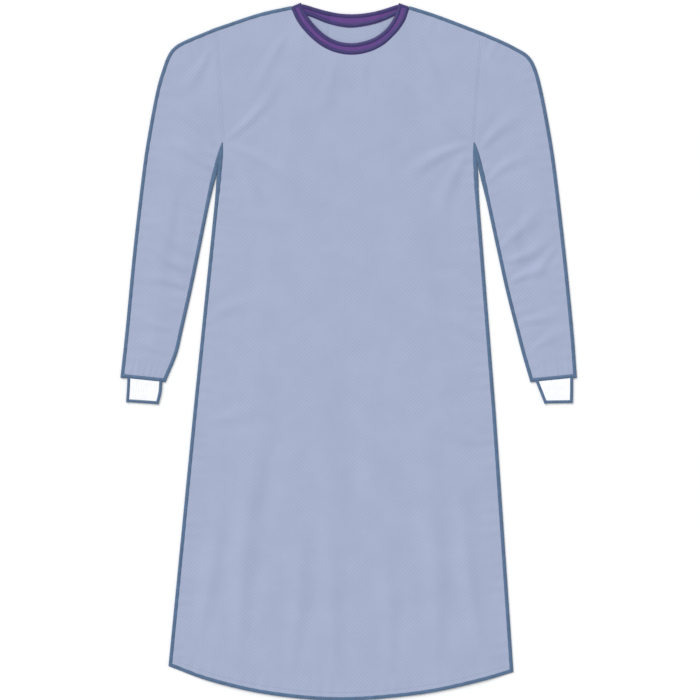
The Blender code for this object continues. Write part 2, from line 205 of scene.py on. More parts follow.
@dataclass(frozen=True)
class BondedNonwoven(Finish):
    """Spunbonded polypropylene, calendered with a lattice of bond points.

    The fibres lie at random, so the cloth is a little cloudy, matt and faintly crumpled, and each bond
    point is a small pressed dot, a shade deeper than the cloth round it.
    """

    # Real bond points are about 1 mm apart. They are drawn coarser, because finer ones don't show.
    bond_spacing: float = 5.5
    bond_tone: str = "#8896b5"
    crumple_size: float = 38.0

    def relief(
        self, tree: bpy.types.NodeTree, place: bpy.types.NodeSocket, colour: bpy.types.NodeSocket
    ) -> tuple[bpy.types.NodeSocket, bpy.types.NodeSocket]:
        """Adds the crumpled fibres and the lattice of bond points.

        Args:
            tree: The material's node tree.
            place: The socket with the place on the object.
            colour: The socket with the colour so far.

        Returns:
            The sockets of the final colour and of the normal.
        """
        turned = add_node(
            tree,
            "ShaderNodeMapping",
            {"Rotation": (0.0, 0.0, math.radians(45)), "Scale": (1.0, 1.0, 0.0)},
            {"Vector": place},
        )
        lattice = add_node(
            tree,
            "ShaderNodeTexVoronoi",
            {"voronoi_dimensions": "2D", "Scale": 1 / (self.bond_spacing * MM), "Randomness": 0.0},
            {"Vector": turned.outputs["Vector"]},
        )
        point = add_node(
            tree,
            "ShaderNodeMapRange",
            {"From Min": 0.18, "From Max": 0.34, "To Min": 1.0, "To Max": 0.0},
            {"Value": lattice.outputs["Distance"]},
        )
        faint = add_node(
            tree, "ShaderNodeMath", {"operation": "MULTIPLY", 1: 0.3}, {0: point.outputs["Result"]}
        )
        dotted = add_node(
            tree,
            "ShaderNodeMix",
            {"data_type": "RGBA", MIX_B: linear(self.bond_tone)},
            {MIX_FACTOR: faint.outputs["Value"], MIX_A: colour},
        )
        crumple = add_node(
            tree,
            "ShaderNodeTexNoise",
            {"Scale": 1 / (self.crumple_size * MM), "Detail": 4.0, "Roughness": 0.6, "Distortion": 0.6},
            {"Vector": place},
        )
        soft = add_node(
            tree,
            "ShaderNodeBump",
            {"Strength": 0.5, "Distance": 1.1 * MM},
            {"Height": crumple.outputs["Fac"]},
        )
        pressed = add_node(
            tree,
            "ShaderNodeBump",
            {"Strength": 0.35, "Distance": 0.25 * MM, "invert": True},
            {"Height": point.outputs["Result"], "Normal": soft.outputs["Normal"]},
        )
        return dotted.outputs[MIX_RESULT], pressed.outputs["Normal"]


@dataclass(frozen=True)
class BindingTape(Finish):
    """Polyester tape, woven with fine crosswise ribs, which read as a soft low grain."""

    # The ribs of such a tape are about 0.6 mm apart. They are drawn coarser, so that they show.
    rib_spacing: float = 3.6

    def relief(
        self, tree: bpy.types.NodeTree, place: bpy.types.NodeSocket, colour: bpy.types.NodeSocket
    ) -> tuple[bpy.types.NodeSocket, bpy.types.NodeSocket]:
        """Adds the tape's crosswise ribs.

        Args:
            tree: The material's node tree.
            place: The socket with the place on the object.
            colour: The socket with the colour so far.

        Returns:
            The sockets of the final colour and of the normal.
        """
        ribs = add_node(
            tree,
            "ShaderNodeTexWave",
            {
                "bands_direction": "X",
                "Scale": 1 / (self.rib_spacing * MM) / 3.18,
                "Distortion": 1.2,
                "Detail": 1.0,
            },
            {"Vector": place},
        )
        bump = add_node(
            tree,
            "ShaderNodeBump",
            {"Strength": 0.5, "Distance": 0.4 * MM},
            {"Height": ribs.outputs["Fac"]},
        )
        return colour, bump.outputs["Normal"]


# SMS polypropylene nonwoven, spunbonded and point bonded: matt, blue-grey and slightly cloudy.
GOWN_CLOTH = BondedNonwoven(
    name="SMS polypropylene, spunbonded and point bonded",
    light_tone="#a1abc6",
    dark_tone="#9da7c2",
    roughness=0.7,
    ior=1.49,
    sheen=0.08,
    cloud_size=60.0,
)
# Spun polyester thread, dyed dark blue and overlocked: dense, rounded and a little silky.
SEAM_THREAD = Finish(
    name="spun polyester thread, dyed dark blue and overlocked",
    light_tone="#4a688c",
    dark_tone="#3e5c7d",
    roughness=0.55,
    ior=1.57,
    sheen=0.15,
    cloud_size=9.0,
)
# The same thread in the cloth's colour, for rows of lockstitch that hardly show.
CLOTH_THREAD = Finish(
    name="spun polyester thread, dyed blue-grey and lockstitched",
    light_tone="#9ea8c4",
    dark_tone="#929dbb",
    roughness=0.6,
    ior=1.57,
    sheen=0.1,
    cloud_size=9.0,
)
# Polyester tape, dyed purple and folded over the neck edge: a low satin grain.
NECK_TAPE = BindingTape(
    name="polyester tape, dyed purple and woven",
    light_tone="#5d2d80",
    dark_tone="#4d2a7c",
    roughness=0.65,
    ior=1.57,
    sheen=0.05,
    cloud_size=55.0,
)
# Thread of the tape's edges, dyed indigo: a darker line along both edges.
TAPE_THREAD = Finish(
    name="spun polyester thread, dyed indigo and overlocked",
    light_tone="#2c1f6a",
    dark_tone="#241a5c",
    roughness=0.6,
    ior=1.57,
    sheen=0.05,
    cloud_size=12.0,
)
# Polyester and cotton yarn, bleached white and knitted as two by two rib: soft and matt.
CUFF_KNIT = Finish(
    name="polyester and cotton yarn, bleached and rib knitted",
    light_tone="#f7f8fa",
    dark_tone="#f0f2f6",
    roughness=0.85,
    ior=1.5,
    sheen=0.2,
    cloud_size=14.0,
)
# Backdrop paper, white and uncoated: it gives an even, nearly white floor.
FLOOR_PAPER = Finish(
    name="uncoated white backdrop paper",
    light_tone="#fafafb",
    dark_tone="#f7f8f9",
    roughness=0.95,
    ior=1.45,
    sheen=0.0,
    cloud_size=400.0,
)


# Curves


def smooth(rows: Rows, steps: np.ndarray) -> np.ndarray:
    """Reads a table at the given steps, along a smooth curve through its rows.

    Args:
        rows: The table.
        steps: Places along it, counted in rows.

    Returns:
        A row of values for each step.
    """
    table = np.asarray(rows, float)
    steps = np.asarray(steps, float)
    low = np.clip(steps.astype(int), 0, len(table) - 2)
    part = (steps - low)[..., None]
    slopes = np.gradient(table, axis=0)
    start = (1 + 2 * part) * (1 - part) ** 2
    end = part**2 * (3 - 2 * part)
    leaving = part * (1 - part) ** 2
    arriving = part**2 * (part - 1)
    return start * table[low] + end * table[low + 1] + leaving * slopes[low] + arriving * slopes[low + 1]


def blend(value: np.ndarray) -> np.ndarray:
    """Rises smoothly from 0 to 1 as the value does."""
    value = np.clip(value, 0.0, 1.0)
    return value * value * (3 - 2 * value)


def run_along(path: np.ndarray) -> np.ndarray:
    """The length of the path up to each of its points."""
    steps = np.linalg.norm(np.diff(path, axis=0), axis=1)
    return np.concatenate([[0.0], np.cumsum(steps)])


def resample(path: np.ndarray, shares: np.ndarray) -> np.ndarray:
    """Points at the given shares of a path's length.

    Args:
        path: The path's points, one a row.
        shares: The shares, from 0 to 1.

    Returns:
        A point for each share.
    """
    run = run_along(path)
    places = np.asarray(shares) * run[-1]
    return np.stack([np.interp(places, run, path[:, axis]) for axis in range(path.shape[1])], axis=-1)


def run_on(path: np.ndarray, start: float = 0.0, end: float = 0.0) -> np.ndarray:
    """Runs a path on straight past its ends.

    Args:
        path: The path's points, one a row.
        start: How far it runs on before its first point.
        end: How far it runs on past its last point.

    Returns:
        The points of the longer path.
    """
    first = path[:1] - unit(path[1:2] - path[:1]) * start
    last = path[-1:] + unit(path[-1:] - path[-2:-1]) * end
    return np.concatenate([first, path[1:-1], last])


def along(rows: Rows, shares: np.ndarray) -> np.ndarray:
    """Points at the given shares of the length of the smooth curve through the rows."""
    dense = smooth(rows, np.linspace(0, len(rows) - 1, 12 * len(rows)))
    return resample(dense, shares)


def unit(vectors: np.ndarray) -> np.ndarray:
    """The vectors, one a row, each at a length of 1."""
    return vectors / np.maximum(np.linalg.norm(vectors, axis=-1, keepdims=True), 1e-9)


def with_height(plan: np.ndarray, height: np.ndarray | float) -> np.ndarray:
    """Plan points raised to a height."""
    level = np.broadcast_to(height, plan.shape[:-1])[..., None]
    return np.concatenate([plan, level], axis=-1)


# The cut of the gown


@dataclass
class GownCut:
    """The gown's sizes and the lines that they give, seen from above. They are the sizes of its solids."""

    # Walls of the solids and the gaps at their seams
    cloth: float = 1.2
    binding: float = 1.6
    knit: float = 1.4
    seam_gap: float = 0.3
    cuff_gap: float = 0.4
    # How far the upper layer stands off the lower one inside the edges
    loft: float = 1.2
    loft_reach: float = 70.0
    wave_height: float = 0.5
    # The lap of the back panels, the room beside it for a tie, and how the front comes down beside them
    lap_neck: float = 40.0
    lap_hem: float = 110.0
    tie_room_neck: float = 12.0
    tie_room_hem: float = 100.0
    lap_step: float = 15.0
    cover_margin_neck: float = 10.0
    cover_margin_hem: float = 35.0
    cover_ramp_neck: float = 28.0
    cover_ramp_hem: float = 40.0
    lap_neck_step: float = 1.7
    lap_room_step: float = 2.2
    lap_step_end: float = 2.9
    # The neck's middle, the height of its upper corners and the height of the waist ties
    neck_middle: float = 2.8
    neck_top: float = 651.0
    waist: float = 200.0
    # Share of a panel's rows that lie below the armpit
    armpit_share: float = 0.826
    # Height, distance of the left and right body edge from the middle line
    side_seam: Rows = (
        (-600.0, 335.0, 304.5),
        (-110.0, 287.0, 271.0),
        (300.0, 245.0, 239.0),
        (391.0, 237.0, 235.0),
    )
    # Distance from the middle line, height of the left and right shoulder seam
    shoulder_seam: Rows = ((169.0, 629.0, 625.0), (250.0, 602.0, 594.0))
    # Place across the gown, height of the hem
    hem: Rows = (
        (-334.0, -587.0),
        (-267.0, -612.0),
        (-177.0, -634.5),
        (-87.0, -647.0),
        (-8.0, -650.5),
        (70.0, -646.0),
        (160.0, -634.5),
        (250.0, -614.0),
        (304.5, -598.0),
    )
    # Height, distance of the left and right sleeve's top edge from the middle line
    sleeve_top: Rows = (
        (578.0, 307.0, 287.0),
        (566.0, 326.0, 311.0),
        (552.0, 336.0, 333.5),
        (530.0, 344.5, 347.0),
        (489.0, 356.5, 358.5),
        (414.0, 371.0, 373.0),
        (339.0, 382.5, 384.5),
        (189.0, 400.0, 402.0),
        (39.0, 414.5, 417.0),
        (-48.0, 424.0, 423.5),
    )
    # Height, distance of the left and right underarm edge from the middle line
    sleeve_under: Rows = (
        (372.0, 242.0, 240.5),
        (302.0, 260.0, 257.5),
        (189.0, 283.0, 282.0),
        (114.0, 298.5, 298.5),
        (39.0, 315.5, 317.5),
        (-5.0, 326.0, 329.0),
        (-56.0, 347.0, 344.0),
    )
    # From the left shoulder to the right: place across and drop of the binding's seam, then of its edge
    neck_front: Rows = (
        (-111.0, 8.0, -92.0, 0.0),
        (-100.0, 31.5, -81.0, 21.5),
        (-83.0, 54.0, -66.0, 41.0),
        (-58.5, 76.0, -46.0, 59.0),
        (-31.0, 90.0, -24.0, 70.0),
        (0.0, 95.5, 0.0, 74.0),
        (31.0, 91.5, 24.0, 71.0),
        (60.0, 78.5, 48.0, 62.0),
        (85.0, 56.0, 69.0, 45.0),
        (102.0, 32.5, 83.0, 23.5),
        (111.0, 8.0, 90.5, 1.0),
    )
    neck_back: Rows = (
        (-111.0, 8.0, -92.0, 0.0),
        (-90.0, 18.0, -80.0, 3.0),
        (-69.0, 26.0, -64.0, 8.0),
        (-47.0, 35.0, -44.0, 13.5),
        (-24.0, 41.5, -22.0, 18.0),
        (0.0, 44.5, 0.0, 19.5),
        (24.0, 42.0, 22.0, 18.5),
        (47.0, 37.0, 44.0, 15.0),
        (69.0, 29.0, 64.0, 9.5),
        (90.0, 18.5, 79.0, 4.5),
        (111.0, 8.0, 90.5, 1.0),
    )
    shoulder_steps: int = 4
    outline: np.ndarray = field(init=False)
    outline_run: np.ndarray = field(init=False)

    def __post_init__(self) -> None:
        """Works out the outline once."""
        self.outline = self.closed_outline()
        self.outline_run = run_along(np.concatenate([self.outline, self.outline[:1]]))

    @property
    def neck_end(self) -> int:
        """The number of steps from the middle of the neck to its end at the shoulder."""
        return len(self.neck_front) // 2

    def hem_height(self, across: np.ndarray | float) -> np.ndarray:
        """Height of the hem at a place across the gown."""
        curve = along(self.hem, np.linspace(0, 1, 40))
        return np.interp(across, curve[:, 0], curve[:, 1])

    def hem_points(self, places: np.ndarray) -> np.ndarray:
        """Points on the hem at the given places across the gown."""
        return np.stack([places, self.hem_height(places)], axis=-1)

    def side_across(self, heights: np.ndarray, side: Side) -> np.ndarray:
        """The body's edge, side seam and then armhole, at the given heights."""
        column = 1 if side is Side.LEFT else 2
        shoulder = self.shoulder_seam[-1]
        table = np.array(self.side_seam + ((shoulder[column], shoulder[0], shoulder[0]),))
        return side.value * np.interp(heights, table[:, 0], table[:, column])

    def hem_corner(self, side: Side) -> np.ndarray:
        """The corner where the hem meets a side seam."""
        return np.array(self.hem[0] if side is Side.LEFT else self.hem[-1])

    def shoulder_point(self, side: Side) -> np.ndarray:
        """The outer end of a shoulder seam, where the sleeve's top meets it."""
        row = self.shoulder_seam[-1]
        return np.array([side.value * row[0], row[1 if side is Side.LEFT else 2]])

    def armpit(self, side: Side) -> np.ndarray:
        """The lower end of the armhole."""
        row = self.side_seam[-1]
        return np.array([side.value * row[1 if side is Side.LEFT else 2], row[0]])

    def neck_points(self, table: Rows, steps: np.ndarray) -> tuple[np.ndarray, np.ndarray]:
        """Reads a neck table at signed steps from the middle, negative ones to the left.

        Args:
            table: The neck table, of the front or of the back.
            steps: The signed steps.

        Returns:
            The points of the seam and those of the free edge.
        """
        read = smooth(table, np.asarray(steps, float) + self.neck_end)
        seam = np.stack([self.neck_middle + read[:, 0], self.neck_top - read[:, 1]], axis=-1)
        edge = np.stack([self.neck_middle + read[:, 2], self.neck_top - read[:, 3]], axis=-1)
        return seam, edge

    def shoulder_points(self, side: Side, finer: int = 1) -> np.ndarray:
        """Points of a shoulder seam from its outer end up to the neck, without the neck's own point."""
        neck = self.neck_points(self.neck_front, [side.value * self.neck_end])[0][0]
        column = 1 if side is Side.LEFT else 2
        rows = [(side.value * row[0], row[column]) for row in reversed(self.shoulder_seam)]
        rows.append(tuple(neck))
        return along(rows, np.linspace(0, 1, self.shoulder_steps * finer + 1))[:-1]

    def sleeve_edges(self, side: Side, shares: np.ndarray) -> tuple[np.ndarray, np.ndarray]:
        """Points of a sleeve's top edge and underarm edge, from the armhole to the wrist.

        Args:
            side: The sleeve's side.
            shares: Shares of each edge's length.

        Returns:
            The points of the top edge and those of the underarm edge.
        """
        column = 1 if side is Side.LEFT else 2
        top = [tuple(self.shoulder_point(side))]
        top += [(side.value * row[column], row[0]) for row in self.sleeve_top]
        under = [tuple(self.armpit(side))]
        under += [(side.value * row[column], row[0]) for row in self.sleeve_under]
        return along(top, shares), along(under, shares)

    def closed_outline(self) -> np.ndarray:
        """The closed outline of the gown seen from above, with the front's neck edge."""
        shares = np.linspace(0, 1, 60)
        loop = [along(self.hem, shares)]
        for side in (Side.RIGHT, Side.LEFT):
            top, under = self.sleeve_edges(side, shares)
            limb = [self.armpit(side)[None], under, top[::-1], self.shoulder_points(side)]
            if side is Side.RIGHT:
                neck_steps = np.linspace(self.neck_end, -self.neck_end, 19)
                loop += limb + [self.neck_points(self.neck_front, neck_steps)[1]]
            else:
                loop += [part[::-1] for part in reversed(limb)]
        return np.concatenate(loop)

    def edge_reading(self, plan: np.ndarray) -> tuple[np.ndarray, np.ndarray]:
        """Finds the nearest place on the gown's outline for each plan point.

        Args:
            plan: The plan points.

        Returns:
            The distance to the outline and the run along it there.
        """
        starts = self.outline
        sides = np.roll(self.outline, -1, axis=0) - starts
        lengths = np.maximum((sides**2).sum(axis=1), 1e-9)
        flat = plan.reshape(-1, 2)
        distance = np.empty(len(flat))
        run = np.empty(len(flat))
        for first in range(0, len(flat), 4000):
            offset = flat[first : first + 4000, None, :] - starts
            share = np.clip((offset * sides).sum(axis=-1) / lengths, 0.0, 1.0)
            gap = np.linalg.norm(offset - share[..., None] * sides, axis=-1)
            near = gap.argmin(axis=-1)
            rows = np.arange(len(near))
            distance[first : first + 4000] = gap[rows, near]
            run[first : first + 4000] = self.outline_run[near] + share[rows, near] * np.sqrt(lengths[near])
        return distance.reshape(plan.shape[:-1]), run.reshape(plan.shape[:-1])

    def between_neck_and_hem(self, height: np.ndarray, at_neck: float, at_hem: float) -> np.ndarray:
        """A size that changes evenly from the hem's lowest point to the neck's top."""
        lowest = min(row[1] for row in self.hem)
        share = (height - lowest) / (self.neck_top - lowest)
        return at_hem + (at_neck - at_hem) * np.clip(share, 0.0, 1.0)

    def upper_level(self, plan: np.ndarray, distance: np.ndarray) -> np.ndarray:
        """Height of the underside of the upper layer of the solids.

        Args:
            plan: The plan points.
            distance: Their distance from the gown's outline.

        Returns:
            The height at each point.
        """
        across = np.abs(plan[..., 0])
        height = plan[..., 1]
        inner = self.between_neck_and_hem(
            height,
            self.lap_neck + self.tie_room_neck + self.lap_step + self.cover_margin_neck,
            self.lap_hem + self.tie_room_hem + self.lap_step + self.cover_margin_hem,
        )
        ramp = self.between_neck_and_hem(height, self.cover_ramp_neck, self.cover_ramp_hem)
        cover = np.clip((inner + ramp - across) / ramp, 0.0, 1.0)
        inside = blend(distance / self.loft_reach)
        wave = np.sin(plan[..., 0] / 71.0 + height / 190.0) * np.sin(height / 97.0 + 0.8)
        return (1.0 + cover) * (self.cloth + self.seam_gap) + inside * (self.loft + self.wave_height * wave)

    def body_grid(
        self,
        hem: np.ndarray,
        top: np.ndarray,
        left_weights: np.ndarray,
        right_weights: np.ndarray,
        rows_below: int,
        rows_above: int,
    ) -> np.ndarray:
        """Plan points of a panel: lines from hem to top, with the outer ones bent to the body's edge.

        Args:
            hem: The hem point of each line.
            top: The top point of each line.
            left_weights: How far each line follows the left edge.
            right_weights: How far each line follows the right edge.
            rows_below: Rows of faces below the armpits.
            rows_above: Rows of faces above them.

        Returns:
            The points, in rows from the hem up.
        """
        below = np.linspace(0, self.armpit_share, rows_below + 1)
        above = np.linspace(self.armpit_share, 1, rows_above + 1)
        shares = np.concatenate([below, above[1:]])
        plan = hem + (top - hem) * shares[:, None, None]
        for side, weights in ((Side.LEFT, left_weights), (Side.RIGHT, right_weights)):
            low, high = self.hem_corner(side), self.shoulder_point(side)
            straight = low + (high - low) * shares[:, None]
            armpit_height = self.armpit(side)[1]
            heights = np.interp(shares, (0, self.armpit_share, 1), (low[1], armpit_height, high[1]))
            edge = np.stack([self.side_across(heights, side), heights], axis=-1)
            plan += (edge - straight)[:, None, :] * weights[:, None]
        return plan

    def lap_edge(self, heights: np.ndarray, side: Side) -> np.ndarray:
        """Plan points of the free edge of the back panel that ends on the given side."""
        neck = self.neck_points(self.neck_back, [side.value * self.lap_neck_step])[0][0]
        low = self.hem_points(np.array([side.value * self.lap_hem]))[0]
        share = (heights - low[1]) / (neck[1] - low[1])
        return np.stack([low[0] + (neck[0] - low[0]) * share, heights], axis=-1)


# How the cloth lies


@dataclass(frozen=True)
class Crease:
    """A soft ridge in laid cloth along a bowed line, or a trough where its height is negative.

    It starts narrow at its first end, swells and fades out towards the other.
    """

    start: tuple[float, float]
    end: tuple[float, float]
    bow: float
    width: float
    height: float

    def lift(self, plan: np.ndarray) -> np.ndarray:
        """How far the crease lifts each plan point.

        Args:
            plan: The plan points.

        Returns:
            The lift at each point.
        """
        start, end = np.array(self.start), np.array(self.end)
        way = unit(end - start)
        middle = (start + end) / 2 + np.array([-way[1], way[0]]) * self.bow * 2
        shares = np.linspace(0, 1, 17)[:, None]
        line = start * (1 - shares) ** 2 + middle * 2 * shares * (1 - shares) + end * shares**2
        flat = plan.reshape(-1, 2)
        reach = 4 * self.width
        near = np.all((flat > line.min(axis=0) - reach) & (flat < line.max(axis=0) + reach), axis=1)
        lift = np.zeros(len(flat))
        sides = np.diff(line, axis=0)
        lengths = (sides**2).sum(axis=1)
        offset = flat[near][:, None, :] - line[:-1]
        share = np.clip((offset * sides).sum(axis=-1) / lengths, 0.0, 1.0)
        gap = np.linalg.norm(offset - share[..., None] * sides, axis=-1)
        nearest = gap.argmin(axis=-1)
        rows = np.arange(len(nearest))
        place = (nearest + share[rows, nearest]) / len(sides)
        away = gap[rows, nearest] / (self.width * (0.55 + 0.9 * place))
        ridge = np.exp(-(away**2)) - 0.28 * np.exp(-((away - 1.9) ** 2) / 0.8)
        lift[near] = self.height * np.sin(np.pi * place**0.75) * ridge
        return lift.reshape(plan.shape[:-1])


# Soft creases of the upper layer, front and sleeves, listed one by one
UPPER_CREASES = (
    # From the armpits over the chest, up to the shoulders and down the sides
    Crease((-226, 386), (-92, 296), 12, 9, 2.0),
    Crease((-228, 398), (-122, 522), -10, 8, 1.6),
    Crease((-224, 372), (-148, 205), 10, 10, 1.8),
    Crease((225, 388), (98, 314), -11, 9, 2.2),
    Crease((227, 398), (130, 506), 9, 8, 1.5),
    Crease((223, 370), (166, 222), -12, 11, 1.7),
    # From the neck
    Crease((-112, 598), (-176, 468), -8, 9, 1.2),
    Crease((116, 594), (171, 466), 10, 8, 1.4),
    Crease((-30, 538), (-58, 436), 6, 11, 0.9),
    Crease((40, 542), (54, 452), -5, 10, -0.8),
    # Long flutes of the skirt
    Crease((-206, -575), (-148, -60), 15, 20, 2.5),
    Crease((-112, -612), (-86, -235), -9, 16, 1.7),
    Crease((-22, -618), (-34, -125), 10, 20, 2.1),
    Crease((76, -608), (58, -305), -7, 15, 1.5),
    Crease((166, -580), (118, -42), -14, 22, 2.7),
    Crease((246, -555), (202, -182), 8, 16, 1.8),
    Crease((-282, -545), (-236, -165), -8, 16, 1.7),
    Crease((20, -360), (8, 60), 12, 24, -1.3),
    Crease((-170, -330), (-120, 40), -12, 22, -1.2),
    # Across the sides
    Crease((-262, 62), (-148, 96), 9, 12, 1.3),
    Crease((258, 18), (146, 72), -10, 12, 1.4),
    Crease((-62, 182), (48, 150), 13, 16, 0.9),
    Crease((-268, -130), (-142, -92), -8, 13, 1.1),
    Crease((262, -172), (138, -118), 9, 13, 1.2),
    Crease((-210, 250), (-96, 232), 8, 14, 1.0),
    Crease((212, 150), (110, 176), 7, 13, -0.9),
    # Left sleeve: shoulder, elbow and forearm
    Crease((-262, 566), (-324, 478), 7, 9, 1.3),
    Crease((-250, 384), (-334, 468), -8, 10, 1.9),
    Crease((-258, 338), (-352, 396), -9, 9, 1.7),
    Crease((-284, 178), (-372, 262), 8, 10, 1.7),
    Crease((-291, 150), (-386, 216), 9, 9, 2.3),
    Crease((-297, 116), (-394, 140), -7, 8, 1.9),
    Crease((-392, 186), (-332, 112), 6, 8, 1.4),
    Crease((-330, 42), (-404, 72), 6, 8, 1.4),
    Crease((-344, -8), (-411, 22), -5, 7, 1.2),
    Crease((-318, 292), (-352, 96), 7, 12, -1.1),
    # Right sleeve
    Crease((258, 560), (318, 492), -6, 9, 1.4),
    Crease((249, 380), (338, 448), 9, 10, 1.8),
    Crease((262, 322), (356, 372), 8, 9, 1.5),
    Crease((280, 196), (366, 286), -9, 10, 1.8),
    Crease((288, 164), (388, 222), -8, 9, 2.1),
    Crease((298, 126), (396, 158), 7, 8, 2.0),
    Crease((395, 200), (338, 118), -6, 8, 1.3),
    Crease((322, 58), (406, 78), -6, 8, 1.5),
    Crease((342, 2), (412, 34), 5, 7, 1.1),
    Crease((322, 270), (362, 74), -8, 12, -1.0),
)
# Shallow creases of the lower layer, which rise off the surface below
LOWER_CREASES = (
    Crease((-222, 380), (-110, 280), 10, 12, 1.0),
    Crease((222, 376), (120, 290), -10, 12, 1.0),
    Crease((-240, -480), (-180, -60), 10, 18, 1.1),
    Crease((250, -470), (214, -120), -9, 16, 1.0),
    Crease((-40, -520), (-20, -60), 12, 20, 0.9),
    Crease((-150, 520), (-120, 380), 6, 12, 0.8),
    Crease((150, 512), (128, 390), -6, 12, 0.8),
    Crease((-30, 330), (20, 120), 10, 18, 0.9),
    Crease((-292, 152), (-380, 210), 8, 10, 0.9),
    Crease((290, 160), (384, 214), -8, 10, 0.9),
    Crease((-330, 40), (-400, 66), 6, 9, 0.7),
    Crease((324, 56), (402, 74), -6, 9, 0.7),
)


@dataclass
class ClothLay:
    """How the two layers of cloth lie on each other, with their creases and the pull of the sewing."""

    cut: GownCut
    edge_fade: float = 16.0
    pucker_height: float = 0.4
    pucker_reach: float = 9.0
    pucker_length: float = 23.0
    armhole_dip: float = 0.2
    armhole_reach: float = 3.0

    def armhole_groove(self, plan: np.ndarray) -> np.ndarray:
        """How far the cloth dips towards the seams of the armholes."""
        dip = np.zeros(plan.shape[:-1])
        for side in Side:
            low, high = self.cut.armpit(side), self.cut.shoulder_point(side)
            way = unit(high - low)
            offset = plan - low
            run = offset @ way
            away = np.abs(offset @ np.array([-way[1], way[0]]))
            inside = (run > 0) & (run < np.linalg.norm(high - low))
            dip += np.where(inside, np.exp(-((away / self.armhole_reach) ** 2)), 0.0)
        return self.armhole_dip * dip

    def upper(self, plan: np.ndarray) -> np.ndarray:
        """Height of the outside of the upper layer at plan points."""
        distance, run = self.cut.edge_reading(plan)
        creases = sum(crease.lift(plan) for crease in UPPER_CREASES)
        near = distance / self.pucker_reach
        waves = np.sin(2 * np.pi * run / self.pucker_length) * np.sin(run / 41.0 + 0.6)
        pucker = self.pucker_height * near * np.exp(1 - near) * waves
        level = self.cut.upper_level(plan, distance) + self.cut.cloth
        fade = blend(distance / self.edge_fade)
        groove = self.armhole_groove(plan) * fade
        return level + creases * fade + pucker - groove

    def lower_lift(self, plan: np.ndarray) -> np.ndarray:
        """How far the lower layer rises off the surface at plan points."""
        distance, _ = self.cut.edge_reading(plan)
        lift = np.maximum(sum(crease.lift(plan) for crease in LOWER_CREASES), 0.0)
        return lift * blend(distance / self.edge_fade)


# Mesh making


def grid_faces(rows: int, columns: int, closed: bool) -> np.ndarray:
    """Faces of a grid of points.

    Args:
        rows: Rows of points.
        columns: Points in a row.
        closed: Whether each row is a ring.

    Returns:
        The four point numbers of each face.
    """
    row = np.arange(rows - 1)[:, None] * columns
    column = np.arange(columns if closed else columns - 1)
    following = (column + 1) % columns
    corners = [row + column, row + following, row + columns + following, row + columns + column]
    return np.stack([corner.ravel() for corner in corners], axis=-1)


def new_object(name: str, points: np.ndarray, faces: list[list[int]], finish: Finish) -> bpy.types.Object:
    """Makes an object from points in millimetres.

    Args:
        name: The piece's name.
        points: The points.
        faces: The point numbers of each face.
        finish: The finish.

    Returns:
        The new object, linked to the scene.
    """
    mesh = bpy.data.meshes.new(name)
    mesh.from_pydata((points.reshape(-1, 3) * MM).tolist(), [], faces)
    mesh.materials.append(finish.material())
    mesh.shade_smooth()
    piece = bpy.data.objects.new(name, mesh)
    bpy.context.scene.collection.objects.link(piece)
    return piece


def new_shell(
    name: str, points: np.ndarray, finish: Finish, thickness: float, closed: bool = False
) -> bpy.types.Object:
    """Makes a thin shell of cloth whose outer side runs through the points.

    Args:
        name: The piece's name.
        points: The points in rows, in millimetres.
        finish: The finish.
        thickness: The shell's thickness, in millimetres, to the inner side. A negative one goes outwards.
        closed: Whether each row is a ring.

    Returns:
        The new object.
    """
    rows, columns = points.shape[:2]
    faces = grid_faces(rows, columns, closed).tolist()
    piece = new_object(name, points, faces, finish)
    wall = piece.modifiers.new("wall", "SOLIDIFY")
    wall.thickness = abs(thickness) * MM
    wall.offset = -1.0 if thickness > 0 else 1.0
    graph = bpy.context.evaluated_depsgraph_get()
    solid = bpy.data.meshes.new_from_object(piece.evaluated_get(graph))
    piece.modifiers.clear()
    plain = piece.data
    piece.data = solid
    bpy.data.meshes.remove(plain)
    solid.name = name
    solid.set_sharp_from_angle(angle=math.radians(50))
    return piece


